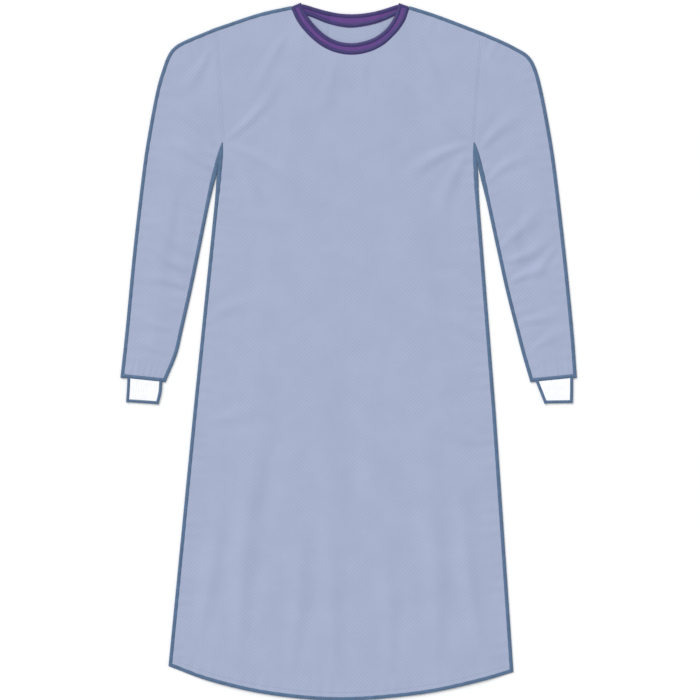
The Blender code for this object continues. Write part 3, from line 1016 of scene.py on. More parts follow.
@dataclass(frozen=True)
class ThreadCover:
    """Threads that cross a seam side by side, as an overlock machine lays them."""

    half_width: float = 3.7
    half_height: float = 1.75
    pitch: float = 2.6
    steps_per_stitch: int = 4
    sides: int = 10
    groove: float = 0.24
    slant: float = 0.35
    squareness: float = 0.6

    def build(
        self,
        name: str,
        path: np.ndarray,
        finish: Finish,
        across: np.ndarray | None = None,
        taper: np.ndarray | None = None,
        closed: bool = False,
    ) -> bpy.types.Object:
        """Makes the thread cover along a path.

        Args:
            name: The piece's name.
            path: The path's points, in millimetres.
            finish: The thread's finish.
            across: The direction of the cover's width at each point, level and square to the path if none.
            taper: The share of the full width at each point, 1 if none.
            closed: Whether the path is a ring.

        Returns:
            The new object.
        """
        length = run_along(path)[-1]
        stitches = max(2, round(length / self.pitch))
        count = stitches * self.steps_per_stitch
        shares = np.linspace(0, 1, count + 1)
        source = run_along(path) / length
        points = resample(path, shares)
        way = unit(np.gradient(points, axis=0))
        if across is None:
            wide = unit(np.stack([way[:, 1], -way[:, 0], np.zeros(len(way))], axis=-1))
        else:
            wide = unit(np.stack([np.interp(shares, source, across[:, axis]) for axis in range(3)], axis=-1))
        thick = unit(np.cross(wide, way))
        share_of_width = np.ones(len(points)) if taper is None else np.interp(shares, source, taper)
        angles = np.linspace(0, 2 * np.pi, self.sides, endpoint=False)
        round_across = np.sign(np.cos(angles)) * np.abs(np.cos(angles)) ** self.squareness
        round_up = np.sign(np.sin(angles)) * np.abs(np.sin(angles)) ** self.squareness
        phase = shares[:, None] * stitches + self.slant * round_across
        thread = 1 - self.groove * (1 - np.abs(np.cos(np.pi * phase)))
        half_width = self.half_width * share_of_width[:, None] * (0.5 + 0.5 * thread)
        half_height = self.half_height * thread
        rings = points[:, None, :] + wide[:, None, :] * (round_across * half_width)[..., None]
        rings += thick[:, None, :] * (round_up * half_height)[..., None]
        if closed:
            rings = rings[:-1]
            rings = np.concatenate([rings, rings[:1]])
        faces = grid_faces(len(rings), self.sides, closed=True)
        if closed:
            faces %= (len(rings) - 1) * self.sides
            rings = rings[:-1]
            return new_object(name, rings, faces.tolist(), finish)
        ends = [list(range(self.sides))[::-1], list(range((len(rings) - 1) * self.sides, rings.size // 3))]
        return new_object(name, rings, faces.tolist() + ends, finish)


@dataclass(frozen=True)
class StitchRow:
    """A row of lockstitch: short rounded threads, each dipping into the cloth at its ends."""

    pitch: float = 3.2
    length: float = 2.6
    radius: float = 0.42
    sides: int = 5

    def build(self, name: str, path: np.ndarray, finish: Finish) -> bpy.types.Object:
        """Makes the row along a path.

        Args:
            name: The piece's name.
            path: The path's points on the cloth's surface, in millimetres.
            finish: The thread's finish.

        Returns:
            The new object.
        """
        total = run_along(path)[-1]
        count = max(2, int(total / self.pitch))
        centres = (np.arange(count) + 0.5) * self.pitch
        places = np.array((-0.5, -0.3, 0.3, 0.5)) * self.length
        girth = np.array((0.15, 1.0, 1.0, 0.15)) * self.radius
        dip = np.array((-0.6, 0.0, 0.0, -0.6)) * self.radius
        shares = np.clip((centres[:, None] + places) / total, 0, 1)
        points = resample(path, shares.ravel())
        way = unit(np.gradient(resample(path, (centres / total).clip(0, 1)), axis=0))
        wide = unit(np.stack([way[:, 1], -way[:, 0], np.zeros(count)], axis=-1))
        wide = np.repeat(wide, len(places), axis=0)
        thick = unit(np.cross(wide, np.repeat(way, len(places), axis=0)))
        points = points + thick * np.tile(dip, count)[:, None]
        angles = np.linspace(0, 2 * np.pi, self.sides, endpoint=False)
        size = np.tile(girth, count)[:, None, None]
        rings = points[:, None, :] + size * (
            wide[:, None, :] * np.cos(angles)[:, None] + thick[:, None, :] * np.sin(angles)[:, None]
        )
        one = grid_faces(len(places), self.sides, closed=True).tolist()
        last = (len(places) - 1) * self.sides
        one += [list(range(self.sides))[::-1], list(range(last, last + self.sides))]
        each = len(places) * self.sides
        faces = [[corner + stitch * each for corner in face] for stitch in range(count) for face in one]
        return new_object(name, rings, faces, finish)


def dress(piece: bpy.types.Object, slot: str | None = None, *nodes: str) -> bpy.types.Object:
    """Lets a piece ride on the gown and hides the solids that it stands for.

    Args:
        piece: The piece.
        slot: The record's material slot. It is not used. The seams' thread has none.
        nodes: The solids that it replaces.

    Returns:
        The piece.
    """
    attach(piece, BODY)
    if nodes:
        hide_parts(*nodes)
    logger.info("%s: %d faces", piece.name, len(piece.data.polygons))
    return piece


# The sewn pieces


@dataclass
class BodyPanels:
    """The front and the two back panels, with their overlocked hems."""

    cut: GownCut
    lay: ClothLay
    shell: float = 0.7
    front_finer: int = 6
    front_rows: tuple[int, int] = (240, 48)
    back_finer: int = 4
    back_rows: tuple[int, int] = (180, 36)
    hem_cover: ThreadCover = ThreadCover(half_height=0.75)
    hem_outset: float = 0.8
    hem_overrun: float = 3.2
    hem_stitch_inset: float = 11.0

    def front(self) -> bpy.types.Object:
        """Makes the front panel, which lies over both back panels."""
        cut = self.cut
        end = cut.neck_end
        steps = np.linspace(-end, end, 18 * self.front_finer + 1)
        neck = cut.neck_points(cut.neck_front, steps)[0]
        left = cut.shoulder_points(Side.LEFT, self.front_finer)
        right = cut.shoulder_points(Side.RIGHT, self.front_finer)[::-1]
        top = np.concatenate([left, neck, right])
        corners = [cut.hem_corner(side)[0] for side in Side]
        hem = cut.hem_points(np.linspace(*corners, len(top)))
        share = np.linspace(0, 1, len(top))
        plan = cut.body_grid(hem, top, (1 - share) ** 2, share**2, *self.front_rows)
        points = with_height(plan, self.lay.upper(plan))
        piece = dress(new_shell("front_cloth", points, GOWN_CLOTH, self.shell), "gown_cloth", "front")
        return piece

    def outer_back(self) -> bpy.types.Object:
        """Makes the left back panel. It is outermost, so it lies on the surface, and reaches past the middle."""
        cut = self.cut
        steps = np.linspace(-cut.neck_end, cut.lap_neck_step, 11 * self.back_finer + 1)
        neck = cut.neck_points(cut.neck_back, steps)[0]
        top = np.concatenate([cut.shoulder_points(Side.LEFT, self.back_finer), neck])
        hem = cut.hem_points(np.linspace(cut.hem_corner(Side.LEFT)[0], cut.lap_hem, len(top)))
        share = np.linspace(0, 1, len(top))
        plan = cut.body_grid(hem, top, (1 - share) ** 2, 0 * share, *self.back_rows)
        lift = np.minimum(self.lay.lower_lift(plan), self.room_below(plan, Side.LEFT))
        points = with_height(plan, lift)[:, ::-1]
        piece = dress(new_shell("back_left_cloth", points, GOWN_CLOTH, self.shell), "gown_cloth", "back_left")
        return piece

    def room_below(self, plan: np.ndarray, side: Side) -> np.ndarray:
        """How far a back panel may rise before it meets what lies on it.

        Args:
            plan: The panel's plan points.
            side: The panel's side.

        Returns:
            The room at each point.
        """
        distance, _ = self.cut.edge_reading(plan)
        above = self.cut.upper_level(plan, distance)
        inner = self.cut.between_neck_and_hem(
            plan[..., 1], self.cut.lap_neck, self.cut.lap_hem + self.cut.tie_room_hem
        )
        under_lap = np.abs(plan[..., 0]) < inner + self.cut.lap_step
        ceiling = np.where(under_lap, self.cut.cloth + self.cut.seam_gap, above)
        if side is Side.RIGHT:
            ceiling = above
        return np.maximum(ceiling - self.shell - 0.25, 0.0)

    def inner_back(self) -> bpy.types.Object:
        """Makes the right back panel. It laps over the left one's free edge and comes down beside it."""
        cut, finer = self.cut, self.back_finer
        lap = np.linspace(-cut.lap_neck_step, cut.lap_room_step, 7 * finer + 1)
        step = np.linspace(cut.lap_room_step, cut.lap_step_end, finer + 1)[1:-1]
        rest = np.linspace(cut.lap_step_end, cut.neck_end, 4 * finer + 1)
        neck = cut.neck_points(cut.neck_back, np.concatenate([lap, step, rest]))[0]
        shoulder = cut.shoulder_points(Side.RIGHT, finer)[::-1]
        top = np.concatenate([neck, shoulder])
        room = cut.lap_hem + cut.tie_room_hem
        lap_hem = np.linspace(-cut.lap_hem, room, len(lap))
        step_hem = np.linspace(room, room + cut.lap_step, finer + 1)[1:-1]
        flat_hem = np.linspace(room + cut.lap_step, cut.hem_corner(Side.RIGHT)[0], len(rest) + len(shoulder))
        hem = cut.hem_points(np.concatenate([lap_hem, step_hem, flat_hem]))
        weights = np.zeros(len(top))
        weights[-len(flat_hem) :] = np.linspace(0, 1, len(flat_hem)) ** 2
        plan = cut.body_grid(hem, top, 0 * weights, weights, *self.back_rows)
        drop = np.concatenate([0 * lap, np.linspace(0, 1, finer + 1)[1:-1], np.ones(len(flat_hem))])
        level = (cut.cloth + cut.seam_gap) * (1 - blend(drop))
        room_above = self.room_below(plan, Side.RIGHT) - level
        lift = np.clip(self.lay.lower_lift(plan), 0, np.maximum(room_above, 0))
        points = with_height(plan, level + lift)[:, ::-1]
        piece = dress(new_shell("back_right_cloth", points, GOWN_CLOTH, self.shell), "gown_cloth", "back_right")
        return piece

    def hems(self) -> None:
        """Makes the overlocked hems of the three panels and the front's row of hem stitches."""
        cut = self.cut
        left, right = (cut.hem_corner(side)[0] for side in Side)
        height = self.hem_cover.half_height
        outset = np.array([0.0, -self.hem_outset])
        past = self.hem_overrun
        front = run_on(cut.hem_points(np.linspace(left, right, 240)), past, past)
        level = cut.upper_level(front, np.zeros(len(front))) + cut.cloth - self.shell / 2
        dress(self.hem_cover.build("hem_front", with_height(front + outset, level), SEAM_THREAD))
        outer = run_on(cut.hem_points(np.linspace(left, cut.lap_hem, 160)), start=past)
        cover = self.hem_cover.build("hem_back_left", with_height(outer + outset, height), SEAM_THREAD)
        dress(cover)
        room = cut.lap_hem + cut.tie_room_hem
        inner = run_on(cut.hem_points(np.linspace(-cut.lap_hem, right, 160)), end=past)
        fall = blend((inner[:, 0] - room) / cut.lap_step)
        lap_level = height + (cut.cloth + cut.seam_gap) * (1 - fall)
        cover = self.hem_cover.build("hem_back_right", with_height(inner + outset, lap_level), SEAM_THREAD)
        dress(cover)
        inset = front[4:-4] + np.array([0.0, self.hem_stitch_inset])
        row = StitchRow().build("hem_stitches", with_height(inset, self.lay.upper(inset)), CLOTH_THREAD)
        dress(row, "gown_cloth")

    def build(self) -> None:
        """Makes the panels and their hems."""
        self.front()
        self.outer_back()
        self.inner_back()
        self.hems()


@dataclass
class Sleeve:
    """A sleeve: a flattened tube of two halves, sewn along the top of the arm and under it."""

    cut: GownCut
    lay: ClothLay
    side: Side
    shell: float = 0.7
    steps: int = 150
    across: int = 58
    fold_steps: int = 6
    gather_reach: float = 58.0
    gather_width: float = 0.045
    gather_height: float = 1.0
    gathers: tuple[float, ...] = (0.16, 0.31, 0.44, 0.6, 0.72, 0.85)
    armhole_gap: float = 0.1
    armhole_gap_reach: float = 25.0
    end_cover: ThreadCover = ThreadCover(half_height=1.2, sides=8)
    end_inset: float = 1.8
    end_rise: float = 0.4

    def gather(self, across: np.ndarray, run: float) -> np.ndarray:
        """The lift of the small gathers where the sleeve is eased into the cuff.

        Args:
            across: Shares of the sleeve's width.
            run: Distance up the sleeve from its end.

        Returns:
            The lift at each share.
        """
        fade = blend(1 - run / self.gather_reach) * blend(0.25 + run / 14.0)
        lift = np.zeros(len(across))
        for number, place in enumerate(self.gathers):
            length = 0.7 + 0.3 * math.sin(2.4 * number + self.side.value)
            away = (across - place) / self.gather_width
            lift += length * np.exp(-(away**2))
        return self.gather_height * fade * lift * np.sin(np.pi * across) ** 0.5

    def ring(self, start: np.ndarray, end: np.ndarray, run: float) -> np.ndarray:
        """One section of the sleeve: its lower layer, a rounded edge, its upper layer, a rounded edge.

        Args:
            start: The plan point of the section's left edge.
            end: The plan point of its right edge.
            run: Distance up the sleeve from its end.

        Returns:
            The section's points.
        """
        width = np.linalg.norm(end - start)
        way = (end - start) / width
        radius = (self.cut.cloth * 2 + self.cut.seam_gap) / 2
        shares = np.linspace(0, 1, self.across + 1)
        flat = start + way * (radius + (width - 2 * radius) * shares)[:, None]
        turns = np.linspace(-np.pi / 2, np.pi / 2, self.fold_steps + 1)[1:-1]
        top = self.lay.upper(flat) + self.gather(shares, run)
        limits = blend(np.minimum(shares, 1 - shares) * width / 10)
        bottom = np.minimum(self.lay.lower_lift(flat), 0.8) * limits
        edges = [
            with_height(plan + outward * (radius * np.cos(turns))[:, None], radius + radius * np.sin(turns))
            for plan, outward in ((flat[-1], way), (flat[0], -way))
        ]
        return np.concatenate(
            [with_height(flat, bottom), edges[0], with_height(flat[::-1], top[::-1]), edges[1][::-1]]
        )

    def build(self) -> bpy.types.Object:
        """Makes the sleeve, the band at its end and the stitches at its armhole."""
        cut, side = self.cut, self.side
        shares = np.linspace(0, 1, self.steps + 1) ** 1.3
        top, under = cut.sleeve_edges(side, shares)
        runs = run_along((top + under) / 2)
        shift = side.value * self.armhole_gap * blend(1 - runs / self.armhole_gap_reach)
        rings = []
        for index, (outer, inner) in enumerate(zip(top, under)):
            away = np.array([shift[index], 0.0])
            start, end = (outer, inner) if side is Side.LEFT else (inner, outer)
            rings.append(self.ring(start + away, end + away, runs[-1] - runs[index]))
        points = np.array(rings)
        name = f"sleeve_{side.label}"
        shell = new_shell(f"{name}_cloth", points, GOWN_CLOTH, self.shell, closed=True)
        piece = dress(shell, "gown_cloth", name)
        self.end_band(points[-1], unit((top[-1] + under[-1] - top[-2] - under[-2])))
        self.armhole_stitches()
        return piece

    def end_band(self, ring: np.ndarray, limb: np.ndarray) -> None:
        """Makes the overlocked band round the end of the sleeve, where the cuff is sewn in."""
        middle = ring - np.append(limb, 0.0) * self.end_inset
        thick, tube = self.end_cover.half_height, 2 * self.cut.cloth + self.cut.seam_gap
        middle[:, 2] = thick + ring[:, 2] * (tube + self.end_rise - thick) / tube
        loop = np.concatenate([middle, middle[:1]])
        across = np.tile(np.append(limb, 0.0), (len(loop), 1))
        name = f"sleeve_end_{self.side.label}"
        dress(self.end_cover.build(name, loop, SEAM_THREAD, across=across, closed=True))

    def armhole_stitches(self) -> None:
        """Makes the row of stitches on the body beside the armhole's seam."""
        low, high = self.cut.armpit(self.side), self.cut.shoulder_point(self.side)
        inward = np.array([-self.side.value, 0.0]) * 4.0
        plan = low + (high - low) * np.linspace(0.03, 0.97, 80)[:, None] + inward
        path = with_height(plan, self.lay.upper(plan))
        row = StitchRow().build(f"armhole_stitches_{self.side.label}", path, CLOTH_THREAD)
        dress(row, "gown_cloth")


@dataclass
class EdgeSeams:
    """The overlocked seams down the sides, over the shoulders and along the sleeves of one side."""

    cut: GownCut
    side: Side
    cover: ThreadCover = ThreadCover()
    outset: float = 0.5
    outset_reach: float = 75.0
    # How far the seams run on past the hem, past the sleeve's end under and over the arm, and at the neck
    hem_overrun: float = 3.6
    under_overrun: float = 1.0
    over_overrun: float = 2.2
    neck_overrun: float = 1.2
    # Distance from the armpit, share of the full width
    armpit_widths: Rows = ((0.0, 0.4), (24.0, 1.15), (70.0, 1.3), (115.0, 1.0))

    def build(self) -> None:
        """Makes the side seam, the underarm seam and the seam over the shoulder and down the arm."""
        cut, side = self.cut, self.side
        low, pit = cut.hem_corner(side), cut.armpit(side)
        heights = np.linspace(pit[1], low[1], 200)
        body = np.stack([cut.side_across(heights, side), heights], axis=-1)
        shares = np.linspace(0, 1, 200)
        top, under = cut.sleeve_edges(side, shares)
        neck = cut.neck_points(cut.neck_front, [side.value * cut.neck_end])[0]
        neck -= np.array([side.value * self.neck_overrun, 0.0])
        shoulder = np.concatenate([neck, cut.shoulder_points(side, 6)[::-1], top])
        distances, widths = np.array(self.armpit_widths).T
        seams = (
            ("side", body, -1, self.hem_overrun),
            ("underarm", under, 1, self.under_overrun),
            ("shoulder", shoulder, -1, self.over_overrun),
        )
        for name, line, outward, overrun in seams:
            plan = run_on(line, end=overrun)
            way = unit(np.gradient(plan, axis=0))
            out = np.stack([way[:, 1], -way[:, 0]], axis=-1) * outward * side.value
            from_pit = np.linalg.norm(plan - pit, axis=1)
            away = blend(from_pit / self.outset_reach)[:, None]
            path = with_height(plan + out * self.outset * away, self.cover.half_height)
            taper = np.interp(from_pit, distances, widths)
            dress(self.cover.build(f"{name}_seam_{side.label}", path, SEAM_THREAD, taper=taper))


@dataclass
class Cuff:
    """A rib knit cuff: a flattened tube with the same two by two ribs on both sides."""

    cut: GownCut
    side: Side
    # Drop below the sleeve's end and distance from the middle line, of the outer edge, then of the inner
    left_edges: Rows = (
        (0.0, 412.0, 0.0, 352.5),
        (22.0, 413.0, 21.0, 354.0),
        (44.0, 414.5, 42.0, 359.0),
    )
    right_edges: Rows = (
        (0.0, 417.5, 0.0, 353.0),
        (23.0, 417.5, 21.0, 361.0),
        (46.0, 417.0, 42.0, 369.0),
    )
    ribs: int = 12
    points_per_rib: int = 6
    rib_height: float = 0.5
    stitch_length: float = 2.2
    steps_per_stitch: int = 4
    shell: float = 0.8
    edge_cover: ThreadCover = ThreadCover(half_width=3.1, half_height=2.2, pitch=2.2)
    mouth_cover: ThreadCover = ThreadCover(half_width=3.1, half_height=0.75, sides=8, pitch=2.2)
    mouth_inset: float = 1.0

    def edges(self, count: int) -> tuple[np.ndarray, np.ndarray]:
        """The cuff's outer and inner edge from the sleeve's end to the mouth.

        Args:
            count: The number of points on each edge.

        Returns:
            The points of the outer edge and those of the inner edge.
        """
        cut, column = self.cut, 1 if self.side is Side.LEFT else 2
        table = self.left_edges if self.side is Side.LEFT else self.right_edges
        read = smooth(table, np.linspace(0, len(table) - 1, count))
        wrist = sorted((row[column], row[0]) for row in (cut.sleeve_top[-1], cut.sleeve_under[-1]))
        found = []
        for drop, across in ((read[:, 0], read[:, 1]), (read[:, 2], read[:, 3])):
            level = np.interp(across, *zip(*wrist)) - cut.cuff_gap - drop
            found.append(np.stack([self.side.value * across, level], axis=-1))
        return found[0], found[1]

    def ring(self, start: np.ndarray, end: np.ndarray, row: float) -> np.ndarray:
        """One section of the ribbed tube.

        Args:
            start: The plan point of the section's left edge.
            end: The plan point of its right edge.
            row: The place along the cuff, counted in knitted rows.

        Returns:
            The section's points, round its outside.
        """
        width = np.linalg.norm(end - start)
        way = (end - start) / width
        thickness = 2 * self.cut.knit + self.cut.seam_gap + self.rib_height
        radius = thickness / 2
        shares = np.linspace(0, 1, self.ribs * self.points_per_rib + 1)
        flat = start + way * (radius + (width - 2 * radius) * shares)[:, None]
        place = shares * self.ribs
        rib = 0.5 - 0.5 * np.cos(2 * np.pi * place)
        slope = np.abs(2 * (place % 1.0) - 1)
        loop = np.abs(np.cos(np.pi * (row + 0.5 * slope)))
        sunk = self.rib_height * (1 - rib**0.7) + 0.12 * (1 - loop) * rib
        turns = np.linspace(-np.pi / 2, np.pi / 2, 9)[1:-1]
        edges = [
            with_height(
                plan + outward * ((radius - 0.2) * np.cos(turns))[:, None],
                radius + (radius - self.rib_height) * np.sin(turns),
            )
            for plan, outward in ((flat[-1], way), (flat[0], -way))
        ]
        upper = with_height(flat[::-1], (thickness - sunk)[::-1])
        return np.concatenate([with_height(flat, sunk), edges[0], upper, edges[1][::-1]])

    def build(self) -> bpy.types.Object:
        """Makes the cuff, with the thread along its two long edges and round its mouth."""
        length = max(row[0] for row in self.left_edges)
        count = round(length / self.stitch_length) * self.steps_per_stitch + 1
        outer, inner = self.edges(count)
        starts, ends = (outer, inner) if self.side is Side.LEFT else (inner, outer)
        rows = np.arange(count) / self.steps_per_stitch
        points = np.array([self.ring(start, end, row) for start, end, row in zip(starts, ends, rows)])
        name = f"cuff_{self.side.label}"
        shell = new_shell(f"{name}_knit", points, CUFF_KNIT, self.shell, closed=True)
        piece = dress(shell, "cuff_knit", name)
        for word, edge in (("outer", outer), ("inner", inner)):
            line = run_on(edge, end=self.mouth_cover.half_width - self.mouth_inset)
            path = with_height(line, self.edge_cover.half_height)
            seam = self.edge_cover.build(f"cuff_seam_{word}_{self.side.label}", path, SEAM_THREAD)
            dress(seam)
        self.mouth(points[-1], unit((outer[-1] + inner[-1] - outer[-2] - inner[-2])))
        return piece

    def mouth(self, ring: np.ndarray, limb: np.ndarray) -> None:
        """Makes the overlocked rim of the cuff's mouth."""
        half = self.mouth_cover.half_height
        top = ring[:, 2].max()
        middle = ring - np.append(limb, 0.0) * self.mouth_inset
        middle[:, 2] = np.where(ring[:, 2] > top / 2, top - half + 0.15, half)
        loop = np.concatenate([middle, middle[:1]])
        across = np.tile(np.append(limb, 0.0), (len(loop), 1))
        name = f"cuff_mouth_{self.side.label}"
        dress(self.mouth_cover.build(name, loop, SEAM_THREAD, across=across, closed=True))


@dataclass
class NeckBinding:
    """The neck binding: one strip of tape round the neck, its right end lapped over its left end."""

    cut: GownCut
    lay: ClothLay
    finer: int = 10
    rows_across: int = 13
    crown: float = 0.35
    fold_steps: int = 14
    narrowing: float = 1.9
    narrowing_steps: float = 0.7
    rows_free_at_fold: int = 4
    edge_cover: ThreadCover = ThreadCover(half_width=4.2, half_height=1.4, sides=8, pitch=2.4)
    edge_inset: float = 3.8
    fold_cover: ThreadCover = ThreadCover(half_width=3.4, half_height=2.0, sides=8, pitch=2.4)
    fold_inset: float = 1.9
    fold_shortening: float = 1.5

    def stretch(self, table: Rows, steps: np.ndarray) -> tuple[np.ndarray, np.ndarray]:
        """Plan points of the free edge and of the seam edge, with the seam's gap kept free."""
        seam, edge = self.cut.neck_points(table, steps)
        return edge, seam + unit(edge - seam) * self.cut.seam_gap

    def back_stretch(self, steps: np.ndarray) -> tuple[np.ndarray, np.ndarray]:
        """Plan points of the back's free edge and seam edge, drawn in towards the folds at the shoulders."""
        edge, seam = self.stretch(self.cut.neck_back, steps)
        near = blend(1 - (self.cut.neck_end - np.abs(steps)) / self.narrowing_steps)
        return edge, seam + unit(edge - seam) * self.narrowing * near[:, None]

    def fold(self, side: Side, top: float) -> list[tuple[np.ndarray, np.ndarray, float]]:
        """Turns the strip from its lower stretch to its upper stretch at a shoulder.

        Args:
            side: The shoulder's side.
            top: The height that the fold reaches.

        Returns:
            The edge point, seam point and height of each row of the fold.
        """
        edge, seam = (part[0] for part in self.stretch(self.cut.neck_front, [side.value * self.cut.neck_end]))
        across = unit(seam - edge)
        outward = side.value * np.array([-across[1], across[0]])
        radius = top / 2
        rows = []
        for share in np.linspace(0, 1, self.fold_steps + 2)[1:-1]:
            turn = np.pi * (share - 0.5)
            shift = outward * radius * (np.cos(turn) - 1)
            narrowed = seam - across * self.narrowing * (1 - share)
            rows.append((edge + shift, narrowed + shift, radius + radius * math.sin(turn)))
        return rows

    def rows(self) -> tuple[np.ndarray, np.ndarray]:
        """The strip's free edge and seam edge, on its outer side, from its left end to its right end.

        Returns:
            The points of the free edge and those of the seam edge.
        """
        cut, finer = self.cut, self.finer
        end = cut.neck_end
        top = 2 * cut.binding + cut.seam_gap
        free = self.rows_free_at_fold
        lower = self.back_stretch(np.linspace(cut.lap_neck_step, -end, 11 * finer + 1)[:-free])
        front = self.stretch(cut.neck_front, np.linspace(-end, end, 18 * finer + 1)[finer:-finer])
        right_steps = np.linspace(end, -cut.lap_neck_step, 12 * finer + 1)[free:]
        upper = self.back_stretch(right_steps)
        middle = (front[0] + front[1]) / 2
        distance, _ = cut.edge_reading(middle)
        front_level = np.maximum(cut.upper_level(middle, distance), cut.binding + cut.seam_gap) + cut.binding
        lift = blend((cut.lap_step_end - right_steps) / (cut.lap_step_end - cut.lap_room_step))
        lifted = lift * (cut.binding + cut.seam_gap)
        edges, seams = [], []
        for (edge, seam), level in ((lower, np.zeros(len(lower[0]))),):
            edges.append(with_height(edge, level))
            seams.append(with_height(seam, level))
        for edge, seam, level in self.fold(Side.LEFT, top):
            edges.append(with_height(edge[None], level))
            seams.append(with_height(seam[None], level))
        edges.append(with_height(front[0], front_level))
        seams.append(with_height(front[1], front_level))
        for edge, seam, level in reversed(self.fold(Side.RIGHT, top)):
            edges.append(with_height(edge[None], level))
            seams.append(with_height(seam[None], level))
        edges.append(with_height(upper[0], lifted))
        seams.append(with_height(upper[1], lifted))
        return np.concatenate(edges), np.concatenate(seams)

    def build(self) -> bpy.types.Object:
        """Makes the tape and the thread along its two edges."""
        edge, seam = self.rows()
        across = np.linspace(0, 1, self.rows_across)
        points = edge[:, None, :] + (seam - edge)[:, None, :] * across[:, None]
        shell = new_shell("neck_binding_tape", points, NECK_TAPE, self.cut.binding)
        piece = dress(shell, "binding_cloth", "neck_binding")
        way = unit(seam - edge)
        tangent = unit(np.gradient((edge + seam) / 2, axis=0))
        inside = unit(np.cross(tangent, way)) * self.cut.binding / 2
        for word, line, sign in (("free", edge, 1.0), ("seam", seam, -1.0)):
            path = line + way * sign * self.edge_inset + inside
            path[:, 2] = np.maximum(path[:, 2], self.edge_cover.half_height)
            cover = self.edge_cover.build(f"binding_thread_{word}", path, TAPE_THREAD, across=way)
            dress(cover)
        for side in Side:
            self.fold_thread(side)
        return piece

    def fold_thread(self, side: Side) -> None:
        """Makes the thread over the fold at a shoulder, in line with the shoulder seam."""
        edge, seam = self.stretch(self.cut.neck_front, [side.value * self.cut.neck_end])
        inward = -side.value * np.array([self.fold_inset, 0.0])
        line = run_on(np.linspace(seam[0], edge[0], 8) + inward, end=-self.fold_shortening)
        path = with_height(line, self.fold_cover.half_height)
        dress(self.fold_cover.build(f"binding_thread_fold_{side.label}", path, TAPE_THREAD))


@dataclass
class WaistTie:
    """A waist tie, sewn to the free edge of a back panel and lying down beside it."""

    cut: GownCut
    lay: ClothLay
    name: str
    side: Side
    level: float
    # Below the waist: drop and distance of the tie's near side, then of its far side
    course: Rows = (
        (34.0, 0.3, 0.0, 0.3),
        (60.0, 10.0, 34.0, 26.0),
        (100.0, 17.0, 88.0, 36.0),
        (160.0, 21.0, 158.0, 41.0),
        (390.0, 28.0, 389.0, 48.0),
        (620.0, 36.0, 620.0, 56.0),
    )
    steps: int = 160
    rows_across: int = 9
    shell: float = 0.7
    edge_inset: float = 3.0

    def build(self) -> bpy.types.Object:
        """Makes the tie with a row of stitches along each long edge."""
        read = smooth(self.course, np.linspace(0, len(self.course) - 1, self.steps + 1))
        sides = []
        for drop, away in ((read[:, 0], read[:, 1]), (read[:, 2], read[:, 3])):
            heights = self.cut.waist - drop
            shift = np.stack([self.side.value * away, np.zeros(len(away))], axis=-1)
            sides.append(self.cut.lap_edge(heights, self.side) + shift)
        near, far = sides
        across = np.linspace(0, 1, self.rows_across)
        plan = near[:, None, :] + (far - near)[:, None, :] * across[:, None]
        if self.side is Side.RIGHT:
            plan = plan[:, ::-1]
        points = with_height(plan, self.level + self.shell)
        shell = new_shell(f"{self.name}_cloth", points, GOWN_CLOTH, self.shell)
        piece = dress(shell, "gown_cloth", self.name)
        way = unit(far - near)
        for word, line, sign in (("near", near, 1.0), ("far", far, -1.0)):
            path = with_height((line + way * sign * self.edge_inset)[8:-3], self.level + self.shell)
            dress(StitchRow().build(f"{self.name}_{word}_stitches", path, CLOTH_THREAD), "gown_cloth")
        return piece


# The studio


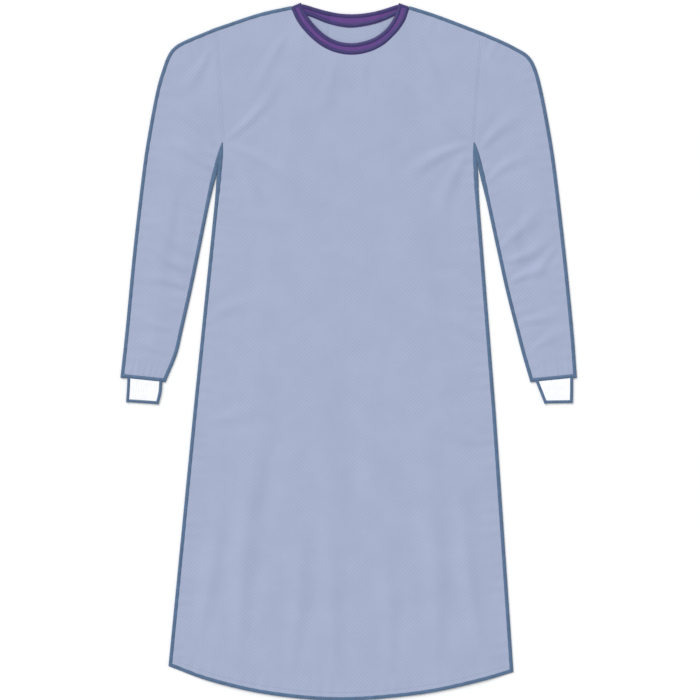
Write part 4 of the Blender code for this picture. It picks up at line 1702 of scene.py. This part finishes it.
@dataclass
class Studio:
    """A white floor, a soft light from the upper left and a camera straight above the gown."""

    view_middle: tuple[float, float] = (2.3, 2.3)
    view_width: float = 1312.5
    camera_height: float = 8000.0
    sensor_width: float = 36.0
    floor_size: float = 60000.0
    sun_strength: float = 1.83
    sun_spread: float = 45.0
    sun_tilt: float = 42.0
    sun_turn: float = 38.0
    sky_strength: float = 0.65

    def floor(self) -> None:
        """Lays the floor."""
        half = self.floor_size / 2
        corners = np.array([(-half, -half, 0.0), (half, -half, 0.0), (half, half, 0.0), (-half, half, 0.0)])
        piece = new_object("floor", corners, [[0, 1, 2, 3]], FLOOR_PAPER)

    def lights(self) -> None:
        """Hangs one broad soft light and lights the room evenly."""
        sun = bpy.data.lights.new("broad_soft_light", "SUN")
        sun.energy = self.sun_strength
        sun.angle = math.radians(self.sun_spread)
        lamp = bpy.data.objects.new("broad_soft_light", sun)
        lamp.rotation_euler = (math.radians(-self.sun_tilt), 0.0, math.radians(self.sun_turn))
        bpy.context.scene.collection.objects.link(lamp)
        world = bpy.data.worlds.new("studio")
        world.use_nodes = True
        world.node_tree.nodes.clear()
        sky = add_node(
            world.node_tree,
            "ShaderNodeBackground",
            {"Color": linear("#ffffff"), "Strength": self.sky_strength},
        )
        add_node(world.node_tree, "ShaderNodeOutputWorld", links={"Surface": sky.outputs["Background"]})
        bpy.context.scene.world = world
        bpy.context.scene.view_settings.view_transform = "Standard"

    def camera(self) -> None:
        """Sets the camera straight above, with the neck at the top of the picture."""
        lens = bpy.data.cameras.new("camera")
        lens.sensor_width = self.sensor_width
        lens.lens = self.sensor_width * self.camera_height / self.view_width
        lens.clip_end = 100.0
        camera = bpy.data.objects.new("camera", lens)
        camera.location = (self.view_middle[0] * MM, self.view_middle[1] * MM, self.camera_height * MM)
        bpy.context.scene.collection.objects.link(camera)
        bpy.context.scene.camera = camera

    def build(self) -> None:
        """Makes the floor, the lights and the camera."""
        self.floor()
        self.lights()
        self.camera()


def main() -> None:
    """Builds the gown round its frame, piece by piece."""
    logging.basicConfig(level=logging.INFO, format="%(name)s: %(message)s")
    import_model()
    cut = GownCut()
    lay = ClothLay(cut)
    Studio().build()
    BodyPanels(cut, lay).build()
    for side in Side:
        Sleeve(cut, lay, side).build()
        Cuff(cut, side).build()
        EdgeSeams(cut, side).build()
    NeckBinding(cut, lay).build()
    WaistTie(cut, lay, "waist_tie_outer", Side.RIGHT, 0.0).build()
    WaistTie(cut, lay, "waist_tie_inner", Side.LEFT, cut.cloth + cut.seam_gap).build()


if __name__ == "__main__":
    main()
